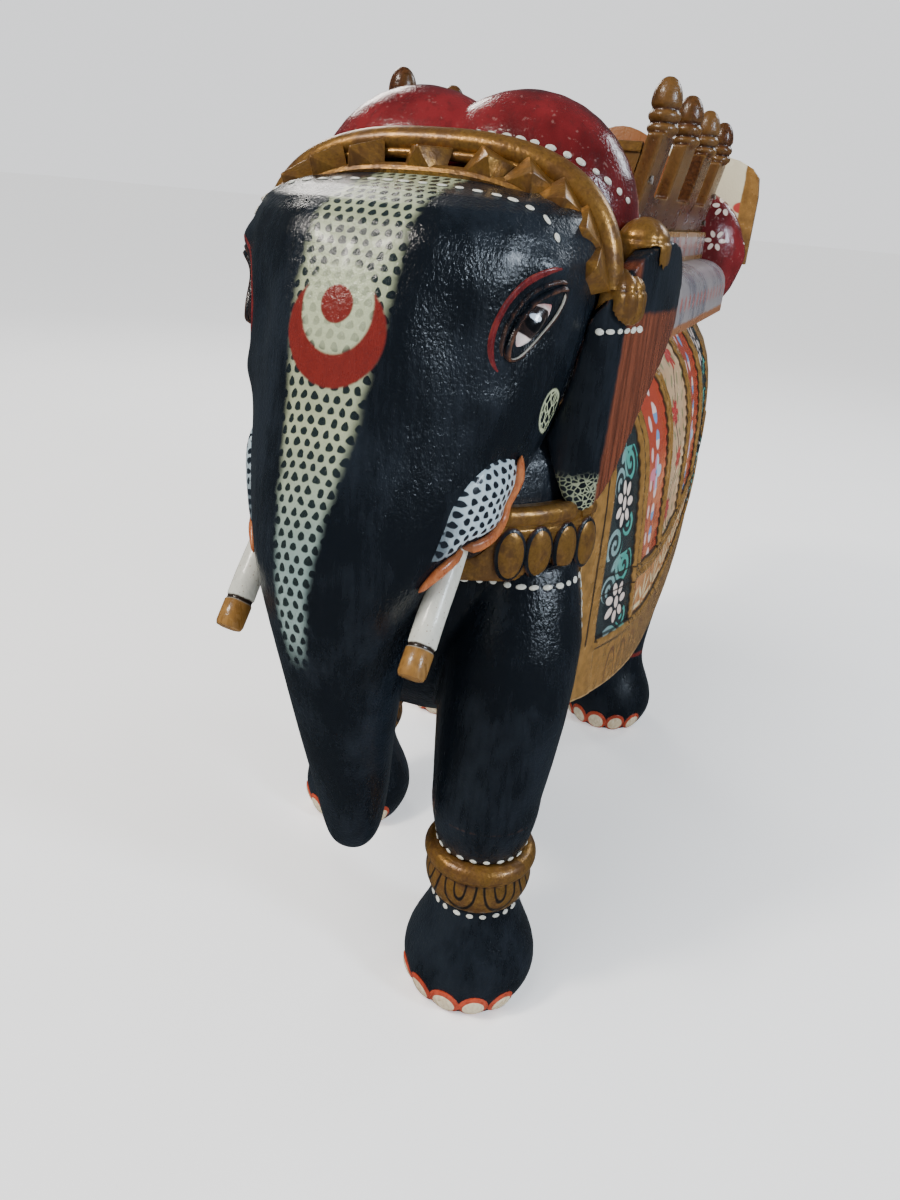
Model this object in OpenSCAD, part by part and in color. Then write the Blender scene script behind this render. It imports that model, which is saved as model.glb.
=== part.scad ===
// Carved and painted wooden elephant carrying a howdah.
// +Z is up, the face looks along -Y, and the elephant's own left side is +X.

/* [Body] */
// Length of the body block, chest to rump
body_l = 436; // [380:2:524]
// Width of the body block
body_w = 198; // [165:1:238]
// Height of the belly above the ground
belly_z = 138; // [130:1:170]
// Height of the body block, belly to back
body_h = 216; // [200:1:260]
// How far the chest stands behind the front leg's line
chest_in = 14; // [8:1:18]
// Share of the width that is lost at the shoulders
shoulder_taper = 0.1; // [0:0.01:0.14]

/* [Legs] */
// Radius of a foot at its widest
foot_r = 36; // [29:0.5:40]
// Height of the bell-shaped foot
foot_h = 64; // [53:0.5:68]
// Height of the gold anklet on a front leg
anklet_h = 30; // [25:0.5:33]
// Radius of a leg under the body block
column_r = 28; // [25:0.5:34]
// Height at which the legs join the body block
joint_z = 124; // [122:1:132]
// Distance between the left and the right feet
track = 128; // [106:1:140]
// How far the left front foot stands ahead of the right one
front_stride = 110; // [80:1:120]
// How far the left rear foot stands behind the right one
rear_stride = 50; // [20:1:60]
// Diameter of the dowels in the legs
dowel_d = 14; // [10:0.5:17]

/* [Head] */
// Width of the head behind the eyes
head_w = 156; // [140:1:164]
// How far the trunk reaches ahead of the chest
face_reach = 52; // [43:1:63]
// Diameter of a tusk
tusk_d = 12.6; // [9:0.1:15]
// Length of a tusk outside the lip
tusk_out = 56; // [40:1:68]
// Thickness of an ear
ear_t = 9; // [7:0.5:10]
// Diameter of the dowel in the neck
neck_dowel_d = 18; // [12:0.5:22]

/* [Coverings] */
// Thickness of the painted side cloths
cloth_t = 7; // [5:0.5:9]
// Height of the side cloths' hem above the ground
hem_z = 146; // [140:1:170]
// Thickness of the gold collar
collar_t = 8; // [6:0.5:10]
// Thickness of the saddle pad over the back
pad_t = 17; // [12:0.5:21]

/* [Howdah] */
// Width of the howdah at its foot
howdah_w = 134; // [110:1:160]
// Thickness of the howdah's base slab
slab_t = 18; // [12:0.5:22]
// Thickness of the howdah's boards
board_t = 8; // [6:0.5:9.5]
// Height of the solid part of a side board
board_h = 17; // [14:0.5:20]
// Height of a post above the solid part
post_h = 28; // [23:0.5:34]
// Diameter of a finial
finial_d = 16.6; // [13:0.2:20]
// Outward lean of the boards in degrees
flare = 12; // [6:1:14]

/* [Fit] */
// Gap between a seated piece and what carries it
gap = 0.3; // [0.1:0.05:0.4]

/* [Hidden] */

back_reach = 14;
total_l = face_reach + body_l + back_reach;
front_y = -total_l / 2 + face_reach;
back_y = front_y + body_l;
mid_z = belly_z + body_h / 2;
top_z = belly_z + body_h;
plan_e = 3.4;

// Feet, from the front left one clockwise as seen from above
foot_fl = [track / 2, front_y + 80 - front_stride / 2];
foot_fr = [-track / 2, front_y + 80 + front_stride / 2];
foot_rl = [track / 2, back_y - 112 + rear_stride / 2];
foot_rr = [-track / 2, back_y - 112 - rear_stride / 2];
feet = [foot_fl, foot_fr, foot_rl, foot_rr];
ankle_r = 0.64 * foot_r;
spigot_r = ankle_r - 7;
spigot_l = 8;
dowel_up = 24;
dowel_down = 14;

// Howdah
howdah_y = front_y + 152;
howdah_l = back_y - 42 - howdah_y;
pad_top = top_z + pad_t;
slab_top = pad_top + slab_t;
post_n = 4;
post_w = 30;
lean = tan(flare);

// ---------------------------------------------------------------- curves and skins

function spow(v, e) = sign(v) * pow(abs(v), e);
function bulge(t, e) = pow(max(0, 1 - pow(abs(t), e)), 1 / e);
function mix(a, b, t) = a + (b - a) * t;

// Smooth curve through the rows of a short table
function smooth4(a, b, c, d, t) = 0.5 * (2 * b + (c - a) * t
    + (2 * a - 5 * b + 4 * c - d) * t * t + (3 * b - a - 3 * c + d) * t * t * t);
function row_at(rows, u) = let (
    last = len(rows) - 1,
    i = min(floor(u), last - 1))
    smooth4(rows[max(i - 1, 0)], rows[i], rows[i + 1], rows[min(i + 2, last)], u - i);

// Body block: level outlines, rounded at the belly and the back
function torso_t(z) = (z - mid_z) / (body_h / 2);
function torso_x(z) = body_w / 2 * bulge(torso_t(z), 3.2);
function torso_front(z) = front_y + chest_in + 80 * (1 - bulge(torso_t(z), 3))
    + 294 * pow(max(0, torso_t(z) - 0.3), 2);
function torso_back(z) = back_y - 110 * (1 - bulge(torso_t(z), 2.6));
function torso_mid(z) = (torso_front(z) + torso_back(z)) / 2;
function torso_half(z) = (torso_back(z) - torso_front(z)) / 2;
function taper(s) = 1 - shoulder_taper * pow(max(0, -s), 2);
function torso_point(z, a, grow) = let (s = spow(sin(a), 2 / plan_e)) [
    (torso_x(z) * taper(s) + grow) * spow(cos(a), 2 / plan_e),
    torso_mid(z) + (torso_half(z) + grow) * s];
function flank_x(y, z) = let (s = (y - torso_mid(z)) / torso_half(z))
    torso_x(z) * taper(s) * bulge(s, plan_e);

// Head and trunk: height over the back, front edge, rear edge, half width, and how
// much narrower the section gets towards the face
head_rows = [
    [-271, -3, 8, 6, 0], [-267, -8, 14, 11, 0], [-256, -12, 17, 15, 0], [-230, -19, 17, 19, 0],
    [-194, -31, 15, 23, 0], [-159, -41, 16, 28, 0], [-129, -48, 20, 35, 0.05],
    [-104, -52, 36, 45, 0.2], [-74, -48, 78, 60, 0.3], [-40, -39, 108, 70, 0.3],
    [-6, -33, 124, 77, 0.22], [22, -22, 130, 80, 0.1], [40, -6, 128, 75, 0.05],
    [49, 28, 122, 60, 0], [54, 56, 112, 42, 0]];
function head_ring(u, grow, n) = let (
    r = row_at(head_rows, u),
    front = r[1] < 0 ? r[1] * face_reach / 52 : r[1],
    wide = r[3] * head_w / 156 + grow,
    z = top_z + r[0] + (u == 0 ? -grow : u == len(head_rows) - 1 ? grow : 0))
    [for (k = [0:n - 1]) let (a = 360 * k / n)
        [wide * spow(cos(a), 2 / 2.2) * (1 - r[4] * pow(max(0, -sin(a)), 1.5)),
         front_y + (front + r[2]) / 2 + ((r[2] - front) / 2 + grow) * spow(sin(a), 2 / 2.2),
         z]];

// ---------------------------------------------------------------- building blocks

// Closed skin through level rings, all turning the same way, the lowest one first
module loft(rings) {
    n = len(rings[0]);
    m = len(rings);
    walls = [for (i = [0:m - 2], j = [0:n - 1]) let (k = (j + 1) % n)
        each [[i * n + j, (i + 1) * n + j, (i + 1) * n + k],
              [i * n + j, (i + 1) * n + k, i * n + k]]];
    bottom = [for (j = [0:n - 1]) j];
    top = [for (j = [n - 1:-1:0]) (m - 1) * n + j];
    polyhedron([for (r = rings) each r], concat(walls, [bottom, top]));
}

// Plate between an outer and an inner sheet of points, given row by row
module plate(outer, inner) {
    n = len(outer[0]);
    m = len(outer);
    w = 2 * n;
    points = [for (i = [0:m - 1]) each concat(outer[i], [for (j = [n - 1:-1:0]) inner[i][j]])];
    walls = [for (i = [0:m - 2], j = [0:w - 1]) let (k = (j + 1) % w)
        each [[i * w + j, (i + 1) * w + j, (i + 1) * w + k],
              [i * w + j, (i + 1) * w + k, i * w + k]]];
    ends = [for (j = [0:n - 2]) each [
        [j, j + 1, w - 2 - j], [j, w - 2 - j, w - 1 - j],
        [(m - 1) * w + j, (m - 1) * w + w - 2 - j, (m - 1) * w + j + 1],
        [(m - 1) * w + j, (m - 1) * w + w - 1 - j, (m - 1) * w + w - 2 - j]]];
    polyhedron(points, concat(walls, ends));
}

// One carved block: its skin stays a single closed mesh
module carved() {
    resize([0, 0, 0]) children();
}

module ellipsoid(at, radii, fn = 28) {
    translate(at) resize(2 * radii) sphere(r = 10, $fn = fn);
}

module mirrored(side) {
    if (side > 0) children();
    else mirror([1, 0, 0]) children();
}

// Hip or shoulder: the leg's column going up into the block
module column(foot, top_y, top, widest, grow) {
    rings = [for (i = [0:6]) let (
        t = i / 6,
        x = mix(abs(foot[0]), 60, t * t),
        y = mix(foot[1], top_y, t),
        r = mix(column_r, widest, sin(min(1, t * 1.6) * 90)) * (t > 0.7 ? 1 - 0.8 * (t - 0.7) : 1)
            + grow)
        [for (k = [0:23]) [sign(foot[0]) * x + r * cos(15 * k), y + r * sin(15 * k),
            mix(joint_z - grow, top, t)]]];
    loft(rings);
}

module body_block(grow = 0) {
    steps = 22;
    loft([for (i = [0:steps]) let (
        t = -cos(180 * i / steps) * 0.985,
        z = mid_z + t * body_h / 2)
        [for (k = [0:47]) let (p = torso_point(z, 7.5 * k, grow))
            [p[0], p[1], z + t * grow]]]);
    column(foot_fl, front_y + 54, mid_z, 34, grow);
    column(foot_fr, front_y + 88, mid_z - 10, 32, grow);
    column(foot_rl, back_y - 98, mid_z + 50, 37, grow);
    column(foot_rr, back_y - 122, mid_z + 50, 37, grow);
}

module head_block(grow = 0) {
    steps = 34;
    last = len(head_rows) - 1;
    loft([for (i = [0:steps]) head_ring(last * i / steps, grow, 32)]);
    for (side = [-1, 1])
        ellipsoid([side * lip_x, lip_y + 15, lip_z + 20], [14 + grow, 22 + grow, 25 + grow]);
    ellipsoid([0, front_y + 12, top_z - 122], [15 + grow, 22 + grow, 12 + grow], 20);
}

// ---------------------------------------------------------------- tusks, dowels and pegs

lip_x = 45;
lip_y = front_y - 3;
lip_z = top_z - 98;
tusk_tilt = 139;
tusk_in = 21;

module tusk_axis(side) {
    translate([side * lip_x, lip_y, lip_z]) rotate([tusk_tilt, 0, 0]) children();
}

neck_y = front_y + 50;
neck_z = mid_z + 73;
neck_half = 30;

module neck_axis() {
    translate([0, neck_y, neck_z]) rotate([37, 0, 0]) children();
}

module leg_axis(foot) {
    translate([foot[0], foot[1], joint_z]) children();
}

ear_peg_d = 4;
ear_peg_z = top_z - 36;
ear_peg_y = front_y + 51;
ear_peg_x = 50;
ear_peg_l = 30;

module ear_peg_axis(side) {
    translate([side * ear_peg_x, ear_peg_y, ear_peg_z]) rotate([0, side * 90, 0]) children();
}

base_peg_d = 9;
base_peg_low = top_z - 26;
base_peg_top = slab_top - 6;

module at_base_pegs() {
    for (x = [-1, 1], y = [0.15, 0.85])
        translate([x * 34, howdah_y + y * howdah_l, base_peg_low]) children();
}

// ---------------------------------------------------------------- body

module torso() {
    color("#15181a") difference() {
        carved() body_block();
        for (foot = feet)
            leg_axis(foot) translate([0, 0, -1])
                cylinder(d = dowel_d + 2 * gap, h = dowel_up + 1 + gap, $fn = 48);
        neck_axis() translate([0, 0, -neck_half - 1])
            cylinder(d = neck_dowel_d + 2 * gap, h = 2 * neck_half, $fn = 48);
        at_base_pegs() translate([0, 0, -1])
            cylinder(d = base_peg_d + 2 * gap, h = top_z - base_peg_low + 10, $fn = 40);
    }
}

module head() {
    color("#15181a") difference() {
        carved() difference() {
            head_block();
            body_block(gap);
        }
        for (side = [-1, 1]) {
            tusk_axis(side) translate([0, 0, -tusk_in - 1])
                cylinder(d = tusk_d + 2 * gap, h = tusk_in + 40, $fn = 48);
            ear_peg_axis(side) translate([0, 0, -1])
                cylinder(d = ear_peg_d + 2 * gap, h = 60, $fn = 32);
        }
        neck_axis() translate([0, 0, -30])
            cylinder(d = neck_dowel_d + 2 * gap, h = neck_half + 31, $fn = 48);
    }
}

module neck_dowel() {
    color("#b98d56") neck_axis() translate([0, 0, -neck_half])
        cylinder(d = neck_dowel_d, h = 2 * neck_half, $fn = 48);
}

// ---------------------------------------------------------------- legs

// Bell: full a third of the way up, drawn in to the ankle
module foot_profile() {
    full = 0.3;
    polygon(concat([[0, 0]],
        [for (i = [0:5]) let (t = i / 5)
            [foot_r * (0.82 + 0.18 * sin(90 * t)), full * foot_h * t]],
        [for (i = [1:8]) let (t = i / 8)
            [mix(foot_r, ankle_r, (1 - cos(180 * t)) / 2), mix(full, 1, t) * foot_h]],
        [[0, foot_h]]));
}

module front_foot(foot) {
    color("#15181a") translate([foot[0], foot[1], 0]) {
        rotate_extrude($fn = 64) foot_profile();
        translate([0, 0, foot_h - 1]) cylinder(r = spigot_r, h = anklet_h + 1 + spigot_l, $fn = 48);
    }
}

module anklet(foot) {
    ring_r = 5.5;
    band = anklet_h - 9;
    color("#a8803a") translate([foot[0], foot[1], foot_h + gap / 2])
        difference() {
            union() {
                rotate_extrude($fn = 64) polygon(concat(
                    [[0, 0], [ankle_r + 1.5, 0]],
                    [for (i = [0:6]) let (t = i / 6)
                        [ankle_r + 1.5 + 3.4 * sin(170 * t), mix(0.5, band, t)]],
                    [[ankle_r + 1, band + 1], [ankle_r + 1, anklet_h - gap], [0, anklet_h - gap]]));
                translate([0, 0, anklet_h - ring_r - gap])
                    rotate_extrude($fn = 64) translate([ankle_r + 0.8, 0])
                        circle(r = ring_r, $fn = 24);
            }
            translate([0, 0, -1]) cylinder(r = spigot_r + gap, h = anklet_h + 2, $fn = 48);
        }
}

module front_leg(foot) {
    low = foot_h + anklet_h;
    color("#15181a") difference() {
        translate([foot[0], foot[1], 0]) rotate_extrude($fn = 64) polygon(concat(
            [[0, low], [ankle_r, low]],
            [for (i = [1:6]) let (t = i / 6)
                [mix(ankle_r, column_r, sin(90 * t)), mix(low, joint_z - gap, t)]],
            [[0, joint_z - gap]]));
        translate([foot[0], foot[1], low - 1])
            cylinder(r = spigot_r + gap, h = spigot_l + 1 + gap, $fn = 48);
        leg_axis(foot) translate([0, 0, -dowel_down - gap])
            cylinder(d = dowel_d + 2 * gap, h = dowel_down + 1, $fn = 48);
    }
}

module rear_leg(foot) {
    color("#15181a") difference() {
        translate([foot[0], foot[1], 0]) rotate_extrude($fn = 64) union() {
            foot_profile();
            polygon(concat([[0, foot_h], [ankle_r, foot_h]],
                [for (i = [1:8]) let (t = i / 8)
                    [mix(ankle_r, column_r, t * t * (3 - 2 * t)),
                     mix(foot_h, joint_z - gap, t)]],
                [[0, joint_z - gap]]));
        }
        leg_axis(foot) translate([0, 0, -dowel_down - gap])
            cylinder(d = dowel_d + 2 * gap, h = dowel_down + 1, $fn = 48);
    }
}

module leg_dowels() {
    color("#b98d56") for (foot = feet)
        leg_axis(foot) translate([0, 0, -dowel_down])
            cylinder(d = dowel_d, h = dowel_down + dowel_up, $fn = 48);
}

// ---------------------------------------------------------------- head pieces

module collar() {
    angles = [for (i = [0:24]) -152 + 124 * i / 24];
    low = top_z - 114;
    sheet = function (grow) [for (j = [0:6])
        [for (a = angles) let (
            z = low + 34 * j / 6,
            p = torso_point(z, a, grow))
            [p[0], p[1], z]]];
    color("#a8803a") carved() difference() {
        plate(sheet(collar_t), sheet(-4));
        body_block(gap);
        head_block(gap);
        translate([-200, cloth_y0 - gap, 0]) cube([400, 200, 600]);
        for (side = [-1, 1]) {
            mirrored(side) ear_plate(gap);
            tusk_axis(side) translate([0, 0, -tusk_in - 2])
                cylinder(d = tusk_d + 2 * gap, h = 2 * tusk_in, $fn = 24);
        }
    }
}

crown_front = front_y + 62;

module crown_domes(grow) {
    for (side = [-1, 1])
        ellipsoid([side * 26, front_y + 98, top_z + 33],
            [head_w / 2 - 22 + grow, 41 + grow, 57 + grow], 36);
}

module crown() {
    color("#8e2a22") carved() difference() {
        crown_domes(0);
        head_block(gap);
        body_block(gap);
        translate([-150, crown_front - 200, top_z - 100]) cube([300, 200, 300]);
        translate([-150, front_y - 50, top_z - 200]) cube([300, 300, 200 - 8]);
    }
}

// The headdress arch over the skull: half width, spring height and rise
arch_x = head_w / 2 + 3;
arch_z = top_z + 2;
arch_rise = 57;
function arch(a, grow) = [(arch_x + grow) * spow(cos(a), 2 / 2.7),
    arch_z + (arch_rise + grow) * spow(sin(a), 2 / 2.7)];

module head_roll() {
    r = 6.5;
    y = crown_front - r - gap;
    angles = [for (i = [0:36]) 180 * i / 36];
    color("#a8803a") carved() difference() {
        loft_arch(y, r, angles);
        head_block(gap);
        for (side = [-1, 1]) mirrored(side) {
            ear_plate(gap);
            bud_shape(gap);
            roll_end_shape(gap);
        }
    }
}

// Round bar that follows the arch from the left ear to the right one
module loft_arch(y, r, angles) {
    loft([for (a = angles) let (
        p = arch(a, 0),
        q = arch(min(a + 1, 180), 0) - arch(max(a - 1, 0), 0),
        d = q / norm(q))
        [for (k = [0:11]) let (c = r * cos(30 * k), s = r * sin(30 * k))
            [p[0] + d[1] * c, y + s, p[1] - d[0] * c]]]);
}

module stud_band() {
    y = crown_front - 2 * 6.5 - 2 * gap;
    studs = 11;
    deep = 16;
    color("#a8803a") carved() difference() {
        union() {
            plate([for (j = [0, 1]) [for (i = [0:24]) let (p = arch(10 + 160 * i / 24, 1.5))
                    [p[0], y - deep * j, p[1] - 4 * j]]],
                [for (j = [0, 1]) [for (i = [0:24]) let (p = arch(10 + 160 * i / 24, -22))
                    [p[0], y - deep * j, p[1] - 4 * j]]]);
            for (i = [0:studs - 1]) let (
                a = 14 + 152 * i / (studs - 1),
                p = arch(a, -0.5))
                translate([p[0], y - deep / 2 - 1, p[1] - 2]) rotate([0, 90 - a, 0])
                    rotate([26, 0, 0]) rotate([0, 0, 45])
                        cylinder(r1 = 12, r2 = 1, h = 11, $fn = 4);
        }
        head_block(gap);
        translate([-150, y, top_z - 100]) cube([300, 200, 300]);
        for (side = [-1, 1]) mirrored(side) {
            ear_plate(gap);
            roll_end_shape(gap);
        }
    }
}

// Ear: a thick plate that turns back from the cheek; its plan, upper and lower edge
ear_rows = [
    [64, 48, -14, -50], [76, 46, -2, -76], [87, 51, 12, -84], [94, 66, 26, -72],
    [99, 86, 33, -42], [102, 108, 30, -18], [102, 124, 16, -6]];

module ear_plate(grow) {
    n = 18;
    way = [for (i = [0:n]) row_at(ear_rows, (len(ear_rows) - 1) * i / n)];
    sheet = function (inset, edge) [for (i = [n:-1:0]) let (
        a = way[max(i - 1, 0)],
        b = way[min(i + 1, n)],
        d = [b[0] - a[0], b[1] - a[1]] / norm([b[0] - a[0], b[1] - a[1]]))
        [for (j = [0:10])
            [way[i][0] - d[1] * inset,
             front_y + way[i][1] + d[0] * inset,
             top_z + mix(way[i][3] - edge, way[i][2] + edge, j / 10)]]];
    plate(sheet(-grow, grow), sheet(ear_t + grow, grow));
}

module ear(side) {
    color("#1b1a1a") mirrored(side) difference() {
        carved() difference() {
            ear_plate(0);
            head_block(gap);
            body_block(gap);
        }
        ear_peg_axis(1) translate([0, 0, -1])
            cylinder(d = ear_peg_d + 2 * gap, h = ear_peg_l + 1 + gap, $fn = 32);
    }
}

module ear_pegs() {
    color("#b98d56") for (side = [-1, 1])
        ear_peg_axis(side) cylinder(d = ear_peg_d, h = ear_peg_l, $fn = 32);
}

module bud_shape(grow) {
    ellipsoid([88, front_y + 86, top_z + 28], [13 + grow, 14 + grow, 14 + grow], 24);
}

module ear_bud(side) {
    color("#a8803a") mirrored(side) carved() difference() {
        bud_shape(0);
        ear_plate(gap);
        head_block(gap);
        crown_domes(gap);
    }
}

module roll_end_shape(grow) {
    ellipsoid([85, front_y + 62, top_z + 9], [13 + grow, 13 + grow, 13 + grow], 24);
}

module roll_end(side) {
    color("#a8803a") mirrored(side) carved() difference() {
        roll_end_shape(0);
        bud_shape(gap);
        ear_plate(gap);
        head_block(gap);
        crown_domes(gap);
    }
}

module tusk(side) {
    color("#e6e2d4") tusk_axis(side) translate([0, 0, -tusk_in])
        cylinder(d = tusk_d, h = tusk_in + tusk_out, $fn = 48);
}

// ---------------------------------------------------------------- coverings

cloth_y0 = front_y + 64;
cloth_y1 = back_y - 90;
cloth_top = top_z - 21;

module side_cloth(side) {
    ny = 17;
    nz = 13;
    hem = function (y) let (s = (y - cloth_y0) / (cloth_y1 - cloth_y0))
        hem_z + 13 * pow(max(0, 0.37 - s) / 0.37, 1.2) + 56 * pow(max(0, s - 0.4) / 0.6, 2);
    sheet = function (grow) [for (j = [0:nz]) [for (i = [0:ny]) let (
        y = mix(cloth_y0, cloth_y1, i / ny),
        z = mix(hem(y), cloth_top, j / nz),
        level = max(z, mid_z))
        [flank_x(y, level) + grow, y, z]]];
    color("#b0603a") mirrored(side) carved() difference() {
        plate(sheet(cloth_t + gap), sheet(gap));
        mirrored(side) body_block(gap);
        head_block(gap);
        ear_plate(gap);
    }
}

module saddle_pad() {
    w = body_w / 2 - 7;
    low = cloth_top + 2;
    r = 16;
    color("#b9a9a0") difference() {
        carved() difference() {
            translate([0, howdah_y + howdah_l, 0]) rotate([90, 0, 0])
                linear_extrude(howdah_l) polygon(concat(
                    [[-w, low]],
                    [for (i = [0:6]) let (a = 180 - 15 * i)
                        [-w + r + 4 + (r + 4) * cos(a), pad_top - r + r * sin(a)]],
                    [for (i = [0:6]) let (a = 90 - 15 * i)
                        [w - r - 4 + (r + 4) * cos(a), pad_top - r + r * sin(a)]],
                    [[w, low]]));
            body_block(gap);
        }
        at_base_pegs() cylinder(d = base_peg_d + 2 * gap, h = 80, $fn = 40);
    }
}

module base_pegs() {
    color("#b98d56") at_base_pegs()
        cylinder(d = base_peg_d, h = base_peg_top - base_peg_low, $fn = 40);
}

// ---------------------------------------------------------------- howdah

module howdah_base() {
    color("#a89a8a") difference() {
        translate([-howdah_w / 2 - 4, howdah_y, pad_top])
            cube([howdah_w + 8, howdah_l, slab_t]);
        at_base_pegs() cylinder(d = base_peg_d + 2 * gap,
            h = base_peg_top - base_peg_low + gap, $fn = 40);
    }
}

post_top = slab_top + board_h + post_h;
finial_h = 26;

module finial() {
    r = finial_d / 2;
    rotate_extrude($fn = 40) polygon(concat(
        [[0, -1], [0.72 * r, -1], [0.72 * r, 0]],
        [for (i = [0:6]) let (a = -75 + 25 * i) [0.7 * r + 0.28 * r * cos(a), 2.6 + 2.3 * sin(a)]],
        [for (i = [0:6]) let (a = -75 + 25 * i) [0.7 * r + 0.3 * r * cos(a), 8.2 + 2.6 * sin(a)]],
        [for (i = [0:9]) let (a = -40 + 13 * i)
            [max(0.01, 0.94 * r * cos(a)), 13.6 + (a < 0 ? 3.2 : finial_h - 13.6) * sin(a)]],
        [[0, finial_h - 0.3]]));
}

module howdah_side(side) {
    x = howdah_w / 2;
    h = board_h + post_h;
    first = post_w / 2;
    pitch = (howdah_l - post_w) / (post_n - 1);
    color("#7b5530") mirrored(side) difference() {
        union() {
            difference() {
                translate([0, howdah_y + howdah_l, slab_top]) rotate([90, 0, 0])
                    linear_extrude(howdah_l) polygon([[x - board_t, 0], [x, 0],
                        [x + h * lean, h], [x + h * lean - board_t, h]]);
                for (i = [0:post_n - 2])
                    translate([x - 20, howdah_y + post_w + i * pitch, slab_top + board_h])
                        cube([60, pitch - post_w, h]);
            }
            for (i = [0:post_n - 1])
                translate([x + h * lean - board_t / 2, howdah_y + first + i * pitch, post_top])
                    finial();
        }
        nail_axes() cylinder(d = nail_d + gap, h = nail_l + 0.5, $fn = 24);
        translate([x - 20, howdah_y + 0.52 * howdah_l, slab_top + board_h - 6])
            rotate([0, 90, 0]) cylinder(d = 3, h = 40, $fn = 24);
    }
}

nail_d = 2;
nail_l = 18;

module nail_axes() {
    for (y = [howdah_y + board_t / 2, howdah_y + howdah_l - board_t / 2], z = [6, 24])
        translate([howdah_w / 2 + z * lean + 0.6, y, slab_top + z]) rotate([0, -90, 0]) children();
}

module howdah_nails() {
    color("#6d6a66") for (side = [-1, 1])
        mirrored(side) nail_axes() {
            cylinder(d = nail_d, h = nail_l, $fn = 24);
            translate([0, 0, -1]) cylinder(d = 4, h = 0.8, $fn = 24);
        }
}

// Cross board between the side boards, with the same lean at its ends
module cross_board(y, h) {
    x = howdah_w / 2 - board_t - gap;
    difference() {
        translate([0, y + board_t, slab_top]) rotate([90, 0, 0])
            linear_extrude(board_t) polygon([[-x, 0], [x, 0], [x + h * lean, h],
                [-x - h * lean, h]]);
        for (side = [-1, 1])
            mirrored(side) nail_axes() cylinder(d = nail_d + gap, h = nail_l + 0.5, $fn = 24);
    }
}

front_h = 36;

module howdah_front() {
    color("#6b4526") cross_board(howdah_y, front_h);
}

module howdah_rail() {
    x = howdah_w / 2 - board_t - gap + front_h * lean;
    r = board_t / 2 + 1;
    color("#a8803a") translate([-x, howdah_y + board_t / 2, slab_top + front_h]) rotate([0, 90, 0])
        difference() {
            cylinder(r = r, h = 2 * x, $fn = 40);
            translate([0, -20, -1]) cube([20, 40, 2 * x + 2]);
        }
}

module howdah_rear() {
    x = howdah_w / 2 - board_t - gap;
    color("#9a4a34") {
        cross_board(howdah_y + howdah_l - board_t, front_h);
        translate([0, howdah_y + howdah_l, slab_top + front_h - 0.01]) rotate([90, 0, 0])
            linear_extrude(board_t) polygon(concat([[-x, 0]],
                [for (i = [-10:10]) [x * i / 10, 30 * pow(cos(9 * i), 1.6)]], [[x, 0]]));
    }
}

// ---------------------------------------------------------------- rump pieces

module rump_bolster() {
    low_y = howdah_y + howdah_l;
    y = (low_y + panel_y) / 2;
    deep = (panel_y - low_y) / 2 + 1;
    color("#8e2a22") difference() {
        carved() difference() {
            union() {
                ellipsoid([0, y, top_z + 20], [100, deep, 48], 34);
                for (side = [-1, 1])
                    ellipsoid([side * 56, y, top_z + 18], [42, deep, 46], 26);
            }
            body_block(gap);
            translate([-150, low_y - 200, 0]) cube([300, 200 + gap, 600]);
            panel_shape(gap);
        }
        panel_nail_axes() panel_nail(gap);
    }
}

panel_t = 9;
panel_nail_in = 12;
panel_y = back_y + back_reach - panel_t;

module panel_shape(grow) {
    w = 98;
    low = top_z + 14;
    high = top_z + 92;
    translate([0, panel_y + panel_t + grow, 0]) rotate([90, 0, 0])
        linear_extrude(panel_t + 2 * grow) polygon(concat(
            [[-w, low]],
            [for (i = [0:12]) let (a = 180 - 15 * i) [w * spow(cos(a), 0.6),
                high - 30 + 30 * spow(sin(a), 0.6)]],
            [[w, low]]));
}

module back_panel() {
    color("#c9b48a") difference() {
        panel_shape(0);
        panel_nail_axes() panel_nail(gap);
    }
}

module panel_nail_axes() {
    for (x = [-50, 50])
        translate([x, panel_y - panel_nail_in, top_z + 26]) rotate([-90, 0, 0]) children();
}

module panel_nail(grow) {
    translate([0, 0, -grow]) cylinder(d = nail_d + grow,
        h = panel_nail_in + panel_t + 0.6 + 2 * grow, $fn = 24);
}

module panel_nails() {
    color("#6d6a66") panel_nail_axes() panel_nail(0);
}

module tail() {
    y = back_y + 5.2;
    color("#15181a") carved() difference() {
        loft([for (i = [0:18]) let (
            t = i / 18,
            r = t < 0.25 ? 3 + 4 * sin(180 * t / 0.25) : 4 + 2.4 * (t - 0.25))
            [for (k = [0:11]) [r * cos(30 * k),
                y - 20 * pow(max(0, t - 0.72) / 0.28, 2) + r * sin(30 * k),
                mid_z - 96 + 160 * t]]]);
        body_block(gap);
    }
}

// ---------------------------------------------------------------- nodes

torso();
head();
neck_dowel();
front_leg(foot_fl);  // leg_front_left
front_leg(foot_fr);  // leg_front_right
anklet(foot_fl);  // anklet_front_left
anklet(foot_fr);  // anklet_front_right
front_foot(foot_fl);  // foot_front_left
front_foot(foot_fr);  // foot_front_right
rear_leg(foot_rl);  // leg_rear_left
rear_leg(foot_rr);  // leg_rear_right
leg_dowels();
collar();
crown();
head_roll();
stud_band();
ear(1);  // ear_left
ear(-1);  // ear_right
ear_pegs();
ear_bud(1);  // ear_bud_left
ear_bud(-1);  // ear_bud_right
roll_end(1);  // roll_end_left
roll_end(-1);  // roll_end_right
tusk(1);  // tusk_left
tusk(-1);  // tusk_right
side_cloth(1);  // side_cloth_left
side_cloth(-1);  // side_cloth_right
saddle_pad();
base_pegs();
howdah_base();
howdah_side(1);  // howdah_side_left
howdah_side(-1);  // howdah_side_right
howdah_front();
howdah_rear();
howdah_rail();
howdah_nails();
rump_bolster();
back_panel();
panel_nails();
tail();
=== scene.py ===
import math
import random

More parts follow.
